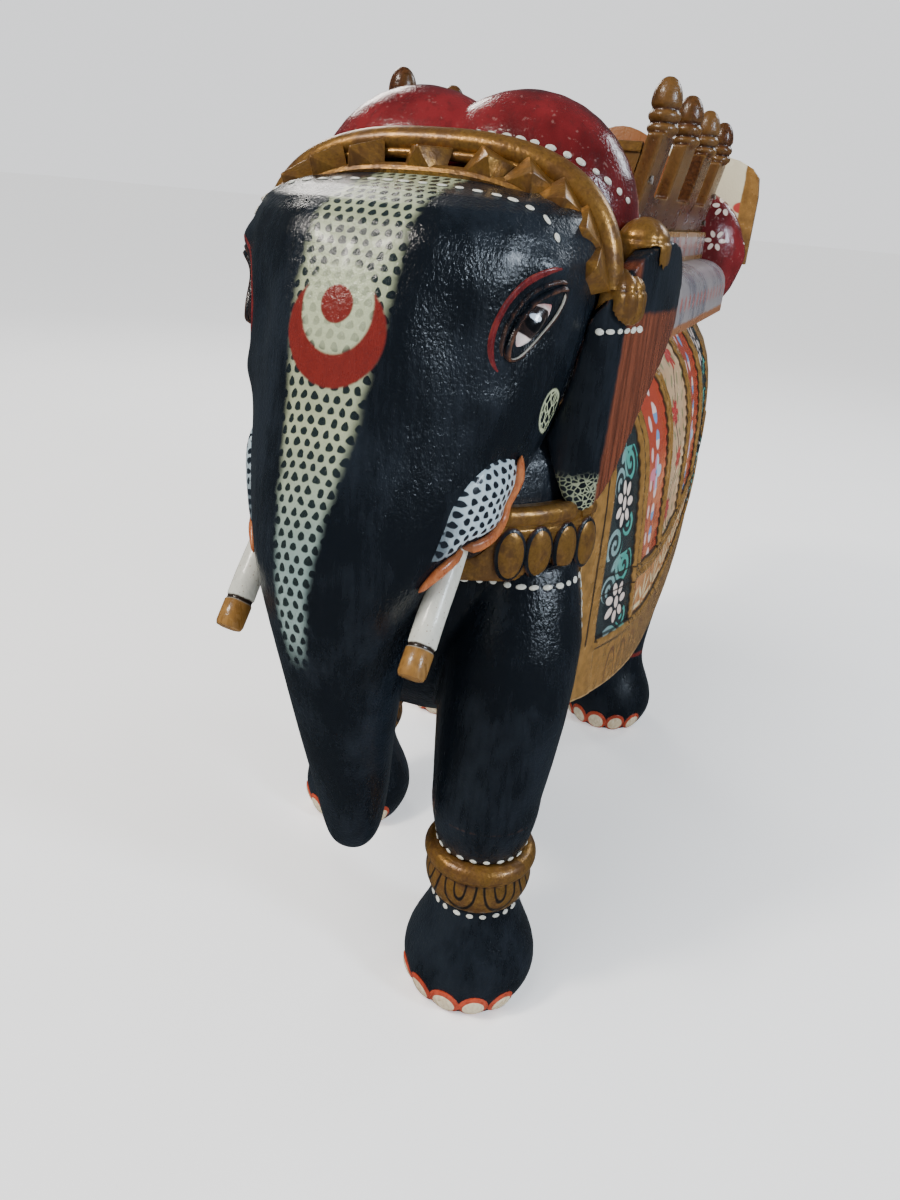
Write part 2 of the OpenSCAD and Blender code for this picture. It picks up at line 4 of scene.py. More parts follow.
import bpy
import numpy as np
from bpy.props import FloatProperty, FloatVectorProperty, PointerProperty
from bpy.types import Operator, Panel, PropertyGroup
from mathutils import Matrix, Vector
from mathutils.bvhtree import BVHTree


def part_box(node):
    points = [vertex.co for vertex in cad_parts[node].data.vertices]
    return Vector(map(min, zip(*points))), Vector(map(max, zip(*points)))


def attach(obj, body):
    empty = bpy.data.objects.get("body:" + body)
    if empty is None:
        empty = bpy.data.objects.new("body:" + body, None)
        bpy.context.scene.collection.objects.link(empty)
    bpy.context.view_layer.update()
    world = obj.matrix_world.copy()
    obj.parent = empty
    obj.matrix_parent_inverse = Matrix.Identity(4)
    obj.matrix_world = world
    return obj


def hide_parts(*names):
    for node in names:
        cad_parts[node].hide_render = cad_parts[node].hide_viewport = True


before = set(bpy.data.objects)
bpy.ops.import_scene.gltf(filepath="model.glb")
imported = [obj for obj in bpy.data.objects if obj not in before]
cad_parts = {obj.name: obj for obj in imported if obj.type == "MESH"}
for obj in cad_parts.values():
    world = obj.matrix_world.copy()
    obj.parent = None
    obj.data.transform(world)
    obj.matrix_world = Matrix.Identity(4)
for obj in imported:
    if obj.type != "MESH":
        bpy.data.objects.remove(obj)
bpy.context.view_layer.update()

bl_info = {
    "name": "Painted wooden elephant",
    "version": (1, 0, 0),
    "blender": (4, 5, 0),
    "location": "View3D > Sidebar > Elephant",
    "description": "Carves and paints the wooden elephant and its howdah around the CAD frame",
    "category": "Object",
}

FINISHES = {}
MM = 0.001
FRONT_Y = -199
TOP_Z = 354
ROLL_Y = -143.8
FEET = {"front_left": (64, -174), "front_right": (-64, -64),
        "rear_left": (64, 150), "rear_right": (-64, 100)}


# ------------------------------------------------------------------ sizes and colours

def colour_prop(name, text, rgb):
    return FloatVectorProperty(name=name, description=text, subtype="COLOR", size=3,
                               min=0, max=1, default=rgb)


class ElephantPaints(PropertyGroup):
    black: colour_prop("Black", "Ground lacquer of the body", (0.003, 0.005, 0.008))
    rub: colour_prop("Rubbed edge", "Brown undercoat where the lacquer is rubbed", (0.13, 0.05, 0.022))
    gold: colour_prop("Gold", "Bronze-gold paint", (0.34, 0.175, 0.042))
    gold_shade: colour_prop("Gold shade", "Brown in the hollows of the gold", (0.045, 0.016, 0.006))
    red: colour_prop("Red", "Lacquer of the crown and the bolster", (0.145, 0.012, 0.014))
    brick: colour_prop("Brick", "Crescent and disc on the face", (0.19, 0.018, 0.013))
    cream: colour_prop("Cream", "Blaze on the face", (0.42, 0.46, 0.29))
    white: colour_prop("White", "Dashes, tusks and petals", (0.66, 0.66, 0.58))
    terracotta: colour_prop("Terracotta", "Side of the ears", (0.19, 0.05, 0.022))
    turquoise: colour_prop("Turquoise", "Scrolls on the cloth", (0.06, 0.30, 0.25))
    salmon: colour_prop("Salmon", "Bands of the cloth", (0.40, 0.055, 0.025))
    peach: colour_prop("Peach", "Vine band of the cloth", (0.50, 0.22, 0.10))
    wood: colour_prop("Howdah wood", "Stained boards of the howdah", (0.085, 0.030, 0.010))


class ElephantSizes(PropertyGroup):
    body_grain: FloatProperty(name="Body grain", description="Finest step of the carved body",
                              default=2.2 * MM, min=1 * MM, max=6 * MM, unit="LENGTH")
    fine_grain: FloatProperty(name="Fine grain", description="Finest step of the head and small carving",
                              default=1.5 * MM, min=0.8 * MM, max=4 * MM, unit="LENGTH")
    dash: FloatProperty(name="Dash", description="Length of a painted white dash",
                        default=4.6 * MM, min=2 * MM, max=8 * MM, unit="LENGTH")
    stud: FloatProperty(name="Stud", description="Side of a pyramid on the headdress",
                        default=20 * MM, min=10 * MM, max=20 * MM, unit="LENGTH")
    rib: FloatProperty(name="Rib", description="Height of the cloth's gold ribs",
                       default=2.4 * MM, min=0.5 * MM, max=3 * MM, unit="LENGTH")


def paints():
    return bpy.context.scene.elephant_paints


def sizes():
    return bpy.context.scene.elephant_sizes


# ------------------------------------------------------------------ shader maths

class Value:
    """A number that changes over a surface. Arithmetic on it adds Math nodes."""

    def __init__(self, paint, socket):
        self.paint = paint
        self.socket = socket

    def __add__(self, other):
        return self.paint.math("ADD", self, other)

    def __sub__(self, other):
        return self.paint.math("SUBTRACT", self, other)

    def __rsub__(self, other):
        return self.paint.math("SUBTRACT", other, self)

    def __mul__(self, other):
        return self.paint.math("MULTIPLY", self, other)

    def __truediv__(self, other):
        return self.paint.math("DIVIDE", self, other)

    def __rtruediv__(self, other):
        return self.paint.math("DIVIDE", other, self)

    def __pow__(self, other):
        return self.paint.math("POWER", self, other)

    def __neg__(self):
        return self.paint.math("MULTIPLY", self, -1)

    def __abs__(self):
        return self.paint.math("ABSOLUTE", self)

    __radd__ = __add__
    __rmul__ = __mul__


class Paint:
    """One finish: a Principled shader and the nodes that vary it over the wood."""

    def __init__(self, name, coat=0.12, coat_roughness=0.12):
        self.material = bpy.data.materials.new("finish_" + name)
        FINISHES[name] = self.material
        self.material.use_nodes = True
        self.nodes = self.material.node_tree.nodes
        self.links = self.material.node_tree.links
        self.nodes.clear()
        self.shader = self.node("ShaderNodeBsdfPrincipled", {}, {
            "Coat Weight": coat, "Coat Roughness": coat_roughness, "Specular IOR Level": 0.5})
        self.node("ShaderNodeOutputMaterial", {}, {"Surface": self.shader.outputs["BSDF"]})
        place = self.node("ShaderNodeTexCoord", {}, {}).outputs["Object"]
        self.at = self.node("ShaderNodeVectorMath", {"operation": "SCALE"},
                            {0: place, "Scale": 1 / MM}).outputs[0]
        parts = self.node("ShaderNodeSeparateXYZ", {}, {0: self.at})
        self.x, self.y, self.z = [Value(self, s) for s in parts.outputs]

    def node(self, kind, settings, inputs):
        made = self.nodes.new(kind)
        for key, value in settings.items():
            setattr(made, key, value)
        for key, value in inputs.items():
            self.feed(made.inputs[key], value)
        return made

    def feed(self, socket, value):
        if isinstance(value, Value):
            value = value.socket
        if isinstance(value, bpy.types.NodeSocket):
            self.links.new(value, socket)
        elif isinstance(value, (tuple, list)) and socket.type == "RGBA":
            socket.default_value = (*value[:3], 1)
        else:
            socket.default_value = value

    def math(self, operation, *values):
        made = self.node("ShaderNodeMath", {"operation": operation}, dict(enumerate(values)))
        return Value(self, made.outputs[0])

    def least(self, *values):
        best = values[0]
        for value in values[1:]:
            best = self.math("MINIMUM", best, value)
        return best

    def most(self, *values):
        best = values[0]
        for value in values[1:]:
            best = self.math("MAXIMUM", best, value)
        return best

    def step(self, value, at, soft=0.3):
        """0 below, 1 above, with a soft change as wide as a brush's edge."""
        made = self.node("ShaderNodeMapRange", {"interpolation_type": "SMOOTHSTEP"},
                         {0: value, 1: at - soft, 2: at + soft, 3: 0.0, 4: 1.0})
        return Value(self, made.outputs[0])

    def between(self, value, low, high, soft=0.3):
        return self.step(value, low, soft) * (1 - self.step(value, high, soft))

    def mix(self, factor, first, second):
        made = self.node("ShaderNodeMix", {"data_type": "RGBA"}, {0: factor, 6: first, 7: second})
        return made.outputs[2]

    def spread(self, size):
        return self.node("ShaderNodeVectorMath", {"operation": "DIVIDE"},
                         {0: self.at, 1: size}).outputs[0]

    def noise(self, size, detail=3.0, spots=0.55):
        made = self.node("ShaderNodeTexNoise", {}, {
            "Vector": self.spread(size), "Scale": 1.0, "Detail": detail, "Roughness": spots})
        return Value(self, made.outputs[0])

    def cells(self, size, feature="DISTANCE_TO_EDGE", chance=1.0):
        made = self.node("ShaderNodeTexVoronoi", {"feature": feature}, {
            "Vector": self.spread(size), "Scale": 1.0, "Randomness": chance})
        return Value(self, made.outputs["Distance"])

    def mark(self, name):
        made = self.node("ShaderNodeAttribute", {"attribute_name": name}, {})
        return Value(self, made.outputs["Fac"])

    def oval(self, u, v, across, along):
        """Below 1 inside an oval."""
        return (u / across) ** 2 + (v / along) ** 2

    def wrap(self, value, step):
        """The same stretch again and again, counted from its middle."""
        return self.math("WRAP", value, step / 2, -step / 2)

    def finish(self, colour, roughness, height, depth=0.25, metal=None):
        self.feed(self.shader.inputs["Base Color"], colour)
        self.feed(self.shader.inputs["Roughness"], roughness)
        if metal is not None:
            self.feed(self.shader.inputs["Metallic"], metal)
        bump = self.node("ShaderNodeBump", {}, {
            "Height": height, "Distance": depth * MM, "Strength": 1.0})
        self.feed(self.shader.inputs["Normal"], bump.outputs[0])
        return self.material


def wobble(paint, amount=1.0, size=7.0):
    """The unsteady edge of a hand-drawn line."""
    return (paint.noise((size, size, size), 2.0) - 0.5) * (2 * amount)


def varnish(paint, stroke=(2.4, 2.4, 22)):
    """Brush strokes, small wrinkles and pits of a thick old varnish."""
    strokes = paint.noise(stroke, 4.0, 0.6)
    wrinkles = paint.noise((1.5, 1.5, 2.2), 3.0, 0.6)
    pits = paint.step(paint.cells((3.2, 3.2, 4.0), "F1"), 0.22, 0.12)
    broad = paint.noise((34, 34, 50), 3.0)
    grains = paint.noise((1.5, 1.5, 1.5), 2.0)
    height = strokes * 0.30 + wrinkles * 0.45 + grains * 0.30 + pits * 0.10
    roughness = 0.12 + broad * 0.22 + strokes * 0.10
    return height, roughness, strokes, broad


def black_ground(paint):
    p = paints()
    height, roughness, strokes, broad = varnish(paint)
    black = tuple(p.black)
    haze = tuple(c * 2.2 + 0.003 for c in black)
    colour = paint.mix(paint.step(broad + strokes * 0.3, 0.68, 0.14), black, haze)
    rubbed = paint.step(paint.mark("edge") + (strokes - 0.5) * 0.9, 0.62, 0.25)
    colour = paint.mix(rubbed * 0.75, colour, tuple(p.rub))
    return colour, roughness, height


def gold_ground(paint):
    p = paints()
    height, roughness, strokes, broad = varnish(paint, (3, 3, 6))
    gold = tuple(p.gold)
    colour = paint.mix(paint.step(strokes, 0.5, 0.25), tuple(c * 0.42 for c in gold), gold)
    flakes = paint.noise((1.2, 1.2, 1.2), 2.0)
    colour = paint.mix(paint.step(flakes, 0.5, 0.3) * 0.35, colour, tint(gold, 1.7))
    patina = paint.step(paint.noise((9, 9, 9), 4.0, 0.6), 0.52, 0.10)
    colour = paint.mix(patina * 0.7, colour, tint(p.gold_shade, 1.3))
    hollow = paint.step(-paint.mark("edge") + (broad - 0.5) * 0.5, 0.22, 0.22)
    colour = paint.mix(hollow, colour, tuple(p.gold_shade))
    metal = (1 - hollow) * (1 - patina * 0.5) * (0.5 + strokes * 0.4)
    return colour, 0.16 + roughness * 0.6, height, metal


def plain_paint(name, rgb, shade, stroke=(2.4, 2.4, 22), depth=0.22):
    """A coat of one paint with its strokes, cloudy depth and rubbed edges."""
    paint = Paint(name)
    height, roughness, strokes, broad = varnish(paint, stroke)
    colour = paint.mix(paint.step(strokes * 0.6 + broad * 0.4, 0.5, 0.16), shade, rgb)
    worn = paint.step(abs(paint.mark("edge")) + (strokes - 0.5) * 0.8, 0.6, 0.25)
    colour = paint.mix(worn * 0.6, colour, tuple(paints().rub))
    return paint.finish(colour, roughness, height, depth)


def tint(rgb, factor):
    return tuple(min(1, c * factor) for c in rgb)


# ------------------------------------------------------------------ bench tools

def pick(*objects):
    bpy.ops.object.select_all(action="DESELECT")
    for o in objects:
        o.select_set(True)
    bpy.context.view_layer.objects.active = objects[0]
    return objects[0]


def new_object(name, mesh):
    made = bpy.data.objects.new(name, mesh)
    bpy.context.scene.collection.objects.link(made)
    return made


def modify(piece, kind, **settings):
    pick(piece)
    added = piece.modifiers.new(kind.title(), kind)
    for key, value in settings.items():
        setattr(added, key, value)
    bpy.ops.object.modifier_apply(modifier=added.name)


def weld(piece, distance=0.01 * MM):
    pick(piece)
    bpy.ops.object.mode_set(mode="EDIT")
    bpy.ops.mesh.select_all(action="SELECT")
    bpy.ops.mesh.remove_doubles(threshold=distance)
    bpy.ops.object.mode_set(mode="OBJECT")


def turn_out(piece):
    pick(piece)
    bpy.ops.object.mode_set(mode="EDIT")
    bpy.ops.mesh.select_all(action="SELECT")
    bpy.ops.mesh.normals_make_consistent(inside=False)
    bpy.ops.object.mode_set(mode="OBJECT")


def cad_copy(name, *nodes):
    copies = []
    for node in nodes:
        copies.append(new_object(name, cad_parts[node].data.copy()))
    pick(*copies)
    if len(copies) > 1:
        bpy.ops.object.join()
    copies[0].data.materials.clear()
    weld(copies[0])
    return copies[0]


def join(name, pieces):
    made = pick(*pieces)
    if len(pieces) > 1:
        bpy.ops.object.join()
    made.name = name
    return made


def rub_edges(piece, gain=3.0, rounds=2):
    """Stores how proud (+) or hollow (-) each point is, for rubbed and shaded paint."""
    mesh = piece.data
    n = len(mesh.vertices)
    co = np.zeros(n * 3)
    normal = np.zeros(n * 3)
    pairs = np.zeros(len(mesh.edges) * 2, dtype=np.int64)
    mesh.vertices.foreach_get("co", co)
    mesh.vertex_normals.foreach_get("vector", normal)
    mesh.edges.foreach_get("vertices", pairs)
    co, normal, pairs = co.reshape(-1, 3), normal.reshape(-1, 3), pairs.reshape(-1, 2)
    a, b = pairs[:, 0], pairs[:, 1]
    way = co[b] - co[a]
    way /= np.maximum(np.linalg.norm(way, axis=1), 1e-9)[:, None]
    total = np.bincount(a, -(way * normal[a]).sum(1), n) + np.bincount(b, (way * normal[b]).sum(1), n)
    count = np.maximum(np.bincount(a, minlength=n) + np.bincount(b, minlength=n), 1)
    edge = total / count
    for _ in range(rounds):
        edge = (edge + (np.bincount(a, edge[b], n) + np.bincount(b, edge[a], n)) / count) / 2
    mark = mesh.attributes.new("edge", "FLOAT", "POINT")
    mark.data.foreach_set("value", np.clip(edge * gain, -1, 1).astype(np.float32))


def carve(name, nodes, grain, rounds=4):
    """A carved block: one soft-edged skin over the CAD solids."""
    piece = cad_copy(name, *nodes)
    modify(piece, "REMESH", mode="VOXEL", voxel_size=grain)
    modify(piece, "SMOOTH", factor=0.5, iterations=rounds)
    return piece


def soften(name, node, width, angle=35):
    """A sawn board: the CAD solid with its arrises broken."""
    piece = cad_copy(name, node)
    pick(piece)
    bpy.ops.object.mode_set(mode="EDIT")
    bpy.ops.mesh.select_all(action="SELECT")
    bpy.ops.mesh.dissolve_limited(angle_limit=math.radians(1))
    bpy.ops.object.mode_set(mode="OBJECT")
    modify(piece, "BEVEL", width=width, segments=2, limit_method="ANGLE",
           angle_limit=math.radians(angle), harden_normals=False)
    return piece


def finish_piece(piece, material, nodes=(), angle=40, rub=True):
    pick(piece)
    piece.data.materials.clear()
    piece.data.materials.append(material)
    for face in piece.data.polygons:
        face.material_index = 0
    bpy.ops.object.shade_smooth_by_angle(angle=math.radians(angle))
    if rub:
        rub_edges(piece)
    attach(piece, "root")
    if nodes:
        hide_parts(*nodes)
    return piece


def mirror_copy(piece, name):
    """The same piece for the elephant's right side, with its faces still outwards."""
    other = new_object(name, piece.data.copy())
    other.data.transform(Matrix.Scale(-1, 4, (1, 0, 0)))
    other.data.flip_normals()
    return other


def surface(*pieces):
    """What points are laid on: a search tree over the pieces' faces."""
    verts, faces = [], []
    for piece in pieces:
        base = len(verts)
        verts += [v.co.copy() for v in piece.data.vertices]
        faces += [[base + i for i in f.vertices] for f in piece.data.polygons]
    return BVHTree.FromPolygons(verts, faces)


def lay(tree, start, way, lift=0.0):
    """The point and normal where a line from start meets the surface, in millimetres."""
    hit, normal, _, _ = tree.ray_cast(Vector(start) * MM, Vector(way).normalized())
    if hit is None:
        return None
    if normal.dot(Vector(way)) > 0:
        normal = -normal
    return hit / MM + normal * lift, normal


def side_lay(tree, y, z, lift=0.0):
    return lay(tree, (190, y, z), (-1, 0, 0), lift)


def smooth_line(points, count):
    """Even points along a smooth curve through the listed ones."""
    points = [Vector(p) for p in points]
    ends = [2 * points[0] - points[1]] + points + [2 * points[-1] - points[-2]]
    fine = []
    for i in range(1, len(ends) - 2):
        a, b, c, d = ends[i - 1:i + 3]
        for j in range(16):
            t = j / 16
            fine.append(0.5 * (2 * b + (c - a) * t + (2 * a - 5 * b + 4 * c - d) * t * t
                               + (3 * b - a - 3 * c + d) * t ** 3))
    fine.append(points[-1])
    run = [0.0]
    for a, b in zip(fine, fine[1:]):
        run.append(run[-1] + (b - a).length)
    even, k = [], 0
    for i in range(count):
        want = run[-1] * i / (count - 1)
        while k < len(run) - 2 and run[k + 1] < want:
            k += 1
        span = max(run[k + 1] - run[k], 1e-9)
        even.append(fine[k].lerp(fine[k + 1], min(1, (want - run[k]) / span)))
    return even


def bar(name, points, normals, half_width, half_height, sides=10, taper=0.0):
    """A bar with a rounded section along a line of points, in millimetres."""
    n = len(points)
    verts, faces = [], []
    for i, (p, up) in enumerate(zip(points, normals)):
        way = (points[min(i + 1, n - 1)] - points[max(i - 1, 0)]).normalized()
        up = (up - way * up.dot(way)).normalized()
        across = way.cross(up)
        end = min(i, n - 1 - i) / max(1, (n - 1) / 2)
        size = 1 if not taper else min(1, 0.12 + (end / taper) ** 0.5)
        for k in range(sides):
            a = 2 * math.pi * k / sides
            verts.append((p + across * (half_width * size * math.cos(a))
                          + up * (half_height * size * math.sin(a))) * MM)
    for i in range(n - 1):
        for k in range(sides):
            m = (k + 1) % sides
            faces.append((i * sides + k, i * sides + m, (i + 1) * sides + m, (i + 1) * sides + k))
    faces.append(tuple(range(sides - 1, -1, -1)))
    faces.append(tuple((n - 1) * sides + k for k in range(sides)))
    mesh = bpy.data.meshes.new(name)
    mesh.from_pydata([tuple(v) for v in verts], [], faces)
    made = new_object(name, mesh)
    turn_out(made)
    return made


def dab(length, width, height):
    """One low bead of paint, long axis along X."""
    bpy.ops.object.select_all(action="DESELECT")
    bpy.ops.mesh.primitive_ico_sphere_add(subdivisions=2, radius=1)
    made = bpy.context.object
    made.data.transform(Matrix.Diagonal((length / 2, width / 2, height, 1)))
    return made


def scatter(name, model, places):
    """Copies of a small piece, each turned along its own line, joined into one piece.
    places holds (point, normal, direction, scale), in millimetres."""
    copies = []
    for point, normal, way, scale in places:
        up = Vector(normal).normalized()
        along = Vector(way) - up * up.dot(Vector(way))
        along.normalize()
        across = up.cross(along)
        turn = Matrix((along, across, up)).transposed().to_4x4()
        copy = new_object(name, model.data.copy())
        copy.data.transform(Matrix.Translation(Vector(point) * MM) @ turn
                            @ Matrix.Diagonal((*scale, 1)))
        copies.append(copy)
    bpy.data.objects.remove(model)
    return join(name, copies)


def dashes(name, line, seed, step=7.2):
    """A row of white dashes laid along points and normals."""
    chance = random.Random(seed)
    length = sizes().dash
    places, left = [], step / 2
    for (p, n), (q, _) in zip(line, line[1:]):
        span = (q - p).length
        while left < span:
            at = p.lerp(q, left / span)
            size = chance.uniform(0.72, 1.12)
            places.append((at, n, q - p + Vector((0, 0, chance.uniform(-0.2, 0.2))) * span,
                           (size, chance.uniform(0.8, 1.15), 1)))
            left += step * chance.uniform(0.88, 1.12)
        left -= span
    made = scatter(name, dab(length, length * 0.62, 0.5 * MM), places)
    return finish_piece(made, FINISHES["white_dash"], rub=False)


# ------------------------------------------------------------------ finishes

def arch_point(a, grow=0.0, rise=57.0):
    c, s = math.cos(a), math.sin(a)
    e = 2 / 2.7
    return ((81 + grow) * math.copysign(abs(c) ** e, c), TOP_Z + 2 + (rise + grow) * abs(s) ** e)


def dab_rows(paint, u, v, across, along):
    """Rows of upright black dabs, each row half a step over from the last."""
    row = paint.math("FLOOR", v / along + 0.5)
    shift = paint.math("MODULO", abs(row), 2.0) * (across / 2)
    cu = paint.wrap(u + shift + wobble(paint, 1.5, 6.0), across)
    cv = paint.wrap(v + wobble(paint, 1.3, 7.0), along)
    narrow = cu * (1 + cv * (0.9 / along))
    return 1 - paint.step(paint.oval(narrow, cv, across * 0.29, along * 0.38), 1.0, 0.25)


def head_paint():
    p = paints()
    paint = Paint("head_lacquer")
    colour, roughness, height = black_ground(paint)
    x, y, z = paint.x, paint.y, paint.z
    edge = wobble(paint, 1.6, 9.0)
    half = paint.least((z - 205) * 0.088 + 6, 19.5)
    lean = paint.most(paint.least((z - 357) * 0.055, 3.0), -7.0)
    front = 1 - paint.step(y, -150, 4)
    low = 1 - paint.step(z, 285, 34)
    strip = 1 - paint.step(abs(x - lean) + edge + low * 2 - half, 0.0, 2.8)
    blaze = strip * front * paint.step(z, 214, 12)
    along = z * 0.9 + y * 0.55
    cloudy = paint.noise((14, 14, 20), 3.0)
    cream = paint.mix(cloudy, tint(p.cream, 0.55), tint(p.cream, 1.1))
    cream = paint.mix(low * 0.75, cream, (0.17, 0.27, 0.29))
    dabs = dab_rows(paint, x - lean, along, 5.0, 4.6)
    cream = paint.mix(dabs, cream, (0.012, 0.02, 0.02))
    disc = 1 - paint.step(paint.oval(x, z - 357, 6.8, 6.8) + edge * 0.05, 1.0, 0.12)
    outer = 1 - paint.step(paint.oval(x, z - 347, 21, 20.5), 1.0, 0.06)
    inner = paint.step(paint.oval(x, z - 355.5, 15.2, 16.5), 1.0, 0.08)
    crescent = outer * inner * (1 - paint.step(z, 368, 1.5))
    ring = paint.most(disc, crescent) * front
    cream = paint.mix(1 - paint.step(paint.oval(x, z - 356, 15, 16), 1.0, 0.2), cream,
                      paint.mix(dabs * 0.35, tuple(p.cream), (0.02, 0.03, 0.03)))
    colour = paint.mix(blaze * 0.94, colour, cream)
    brick = paint.mix(paint.noise((4, 4, 9), 3.0), tint(p.brick, 0.6), tuple(p.brick))
    colour = paint.mix(ring, colour, brick)
    # pale net on the cheek
    u = (y + 167) * 0.82 + (z - 317) * 0.45
    v = (z - 317) * 0.86 - (y + 167) * 0.5
    oval = 1 - paint.step(paint.oval(u, v, 7.6, 10.5), 1.0, 0.1)
    rim = oval * paint.step(paint.oval(u, v, 7.6, 10.5), 0.76, 0.1)
    net = 1 - paint.step(paint.cells((3.4, 3.2, 4.6)), 0.09, 0.05)
    colour = paint.mix(paint.most(oval * net, rim) * 0.85, colour, tint(p.cream, 1.1))
    return paint.finish(colour, roughness, height + blaze * 0.1 + ring * 0.15, 0.8)


def eye_paint():
    paint = Paint("eye_enamel", 0.25, 0.12)
    y, z = paint.y, paint.z
    u = (y + 187.5) * 0.57 + (z - 354) * 0.74
    v = (z - 354) * 0.62 - (y + 187.5) * 0.70
    veins = paint.noise((2.4, 2.4, 2.4), 4.0)
    white = paint.mix(veins, (0.62, 0.42, 0.40), (0.86, 0.84, 0.80))
    corner = paint.step(abs(u + 1) + wobble(paint, 2.0, 3.0), 8.6, 2.0)
    corner = corner * (1 - paint.step(abs(u), 14.4, 1.0))
    white = paint.mix(corner * 0.85, white, (0.32, 0.02, 0.02))
    iris = 1 - paint.step(paint.oval(u - 0.6, v - 0.4, 6.0, 6.6), 1.0, 0.10)
    brown = paint.mix(paint.noise((1.2, 1.2, 1.2), 2.0), (0.004, 0.005, 0.01), (0.035, 0.02, 0.014))
    colour = paint.mix(iris, white, brown)
    pupil = 1 - paint.step(paint.oval(u, v, 3.0, 3.2), 1.0, 0.12)
    colour = paint.mix(pupil, colour, (0.002, 0.002, 0.003))
    # painted highlight: a small bluish-white glint on the iris, standing in for a lamp's reflection
    painted_glint = 1 - paint.step(paint.oval(u - 1.9, v - 1.7, 1.3, 1.6), 1.0, 0.25)
    colour = paint.mix(painted_glint, colour, (0.75, 0.84, 0.95))
    return paint.finish(colour, 0.12 + veins * 0.05, veins, 0.04)


def lip_paint():
    paint = Paint("lip_paint")
    height, roughness, strokes, _ = varnish(paint)
    white = paint.mix(strokes, (0.28, 0.38, 0.45), (0.50, 0.58, 0.60))
    dots = dab_rows(paint, paint.y * 0.9 + paint.z * 0.25, paint.z - paint.y * 0.15, 4.4, 4.0)
    soft = 1 - paint.step(paint.y + wobble(paint, 4, 5), -216, 5)
    white = paint.mix(soft * 0.8, white, (0.02, 0.03, 0.04))
    colour = paint.mix(dots, white, (0.008, 0.012, 0.018))
    return paint.finish(colour, roughness, height, 0.25)


def ear_paint():
    p = paints()
    paint = Paint("ear_lacquer")
    colour, roughness, height = black_ground(paint)
    y, z = paint.y, paint.z
    grain = paint.noise((1.8, 1.8, 40), 4.0, 0.65)
    brick = paint.mix(paint.step(grain, 0.5, 0.2), tint(p.terracotta, 0.35), tuple(p.terracotta))
    flank = paint.step(y + (330 - z) * 0.05 + wobble(paint, 1.0), -140.5, 1.2)
    lobe = paint.step(z + wobble(paint, 2.0), 357, 1.5) * paint.step(y, -134, 2)
    colour = paint.mix(flank * (1 - lobe), colour, brick)
    net = 1 - paint.step(paint.cells((2.7, 2.7, 2.2)), 0.10, 0.05)
    tip = (1 - paint.step(z + wobble(paint, 2.5, 6), 286, 3)) * (1 - flank)
    colour = paint.mix(net * tip * 0.8, colour, tint(p.cream, 0.75))
    return paint.finish(colour, roughness, height + grain * flank * 0.6, 0.35)


def tusk_paint():
    p = paints()
    paint = Paint("tusk_paint")
    height, roughness, strokes, _ = varnish(paint)
    tilt = math.radians(139)
    run = (paint.y - (FRONT_Y - 3)) * -math.sin(tilt) + (paint.z - (TOP_Z - 98)) * math.cos(tilt)
    run = run + wobble(paint, 0.6, 5.0)
    white = paint.mix(strokes, tint(p.white, 0.72), tuple(p.white))
    specks = paint.step(paint.cells((2.2, 2.2, 2.6), "F1"), 0.14, 0.05)
    white = paint.mix(1 - specks, white, (0.30, 0.22, 0.15))
    gold = paint.mix(strokes, tuple(p.gold_shade), tint(p.gold, 1.2))
    colour = paint.mix(paint.step(run, 43.5, 0.4), white, gold)
    colour = paint.mix(paint.between(run, 41.6, 43.4, 0.4), colour, (0.02, 0.012, 0.008))
    return paint.finish(colour, roughness, height, 0.25)


def gold_paint(name="gold_paint"):
    paint = Paint(name, 0.1, 0.2)
    colour, roughness, height, metal = gold_ground(paint)
    return paint.finish(colour, roughness, height, 0.35, metal)


def petal_paint():
    """Gold, a little lighter on the proudest points of each petal."""
    paint = Paint("petal_gold", 0.1, 0.2)
    colour, roughness, height, metal = gold_ground(paint)
    lift = paint.mark("edge")
    colour = paint.mix(paint.step(lift, 0.9, 0.05) * 0.2, colour, tint(paints().gold, 1.6))
    return paint.finish(colour, roughness, height, 0.35, metal)


def anklet_paint():
    """Gold with black strokes round each petal of the band."""
    paint = Paint("anklet_gold", 0.1, 0.2)
    colour, roughness, height, metal = gold_ground(paint)
    left = paint.step(paint.x, 0, 1)
    u = paint.x - (left * 128 - 64)
    v = paint.y - (left * -110 - 64)
    turn = paint.math("ARCTAN2", v, u) * (8 / (2 * math.pi))
    cell = paint.wrap(turn, 1.0)
    z = paint.z - 64
    shape = paint.oval(cell, z - 19, 0.43, 17)
    line = paint.between(shape + wobble(paint, 0.08), 0.76, 1.04, 0.08)
    inner = paint.between(paint.oval(cell, z - 19, 0.17, 10), 0.55, 1.05, 0.12)
    band = paint.between(paint.z, 64.8, 84.0, 0.5)
    stroke = paint.most(line, inner) * band
    colour = paint.mix(stroke, colour, (0.008, 0.006, 0.005))
    return paint.finish(colour, roughness, height + (1 - stroke) * 0.4, 0.4, metal * (1 - stroke))


def rear_leg_paint():
    paint = Paint("rear_leg_lacquer")
    colour, roughness, height = black_ground(paint)
    ring = paint.between(paint.z + wobble(paint, 0.7), 64.5, 68.0, 0.5)
    colour = paint.mix(ring, colour, tint(paints().brick, 0.7))
    return paint.finish(colour, roughness, height, 0.42)


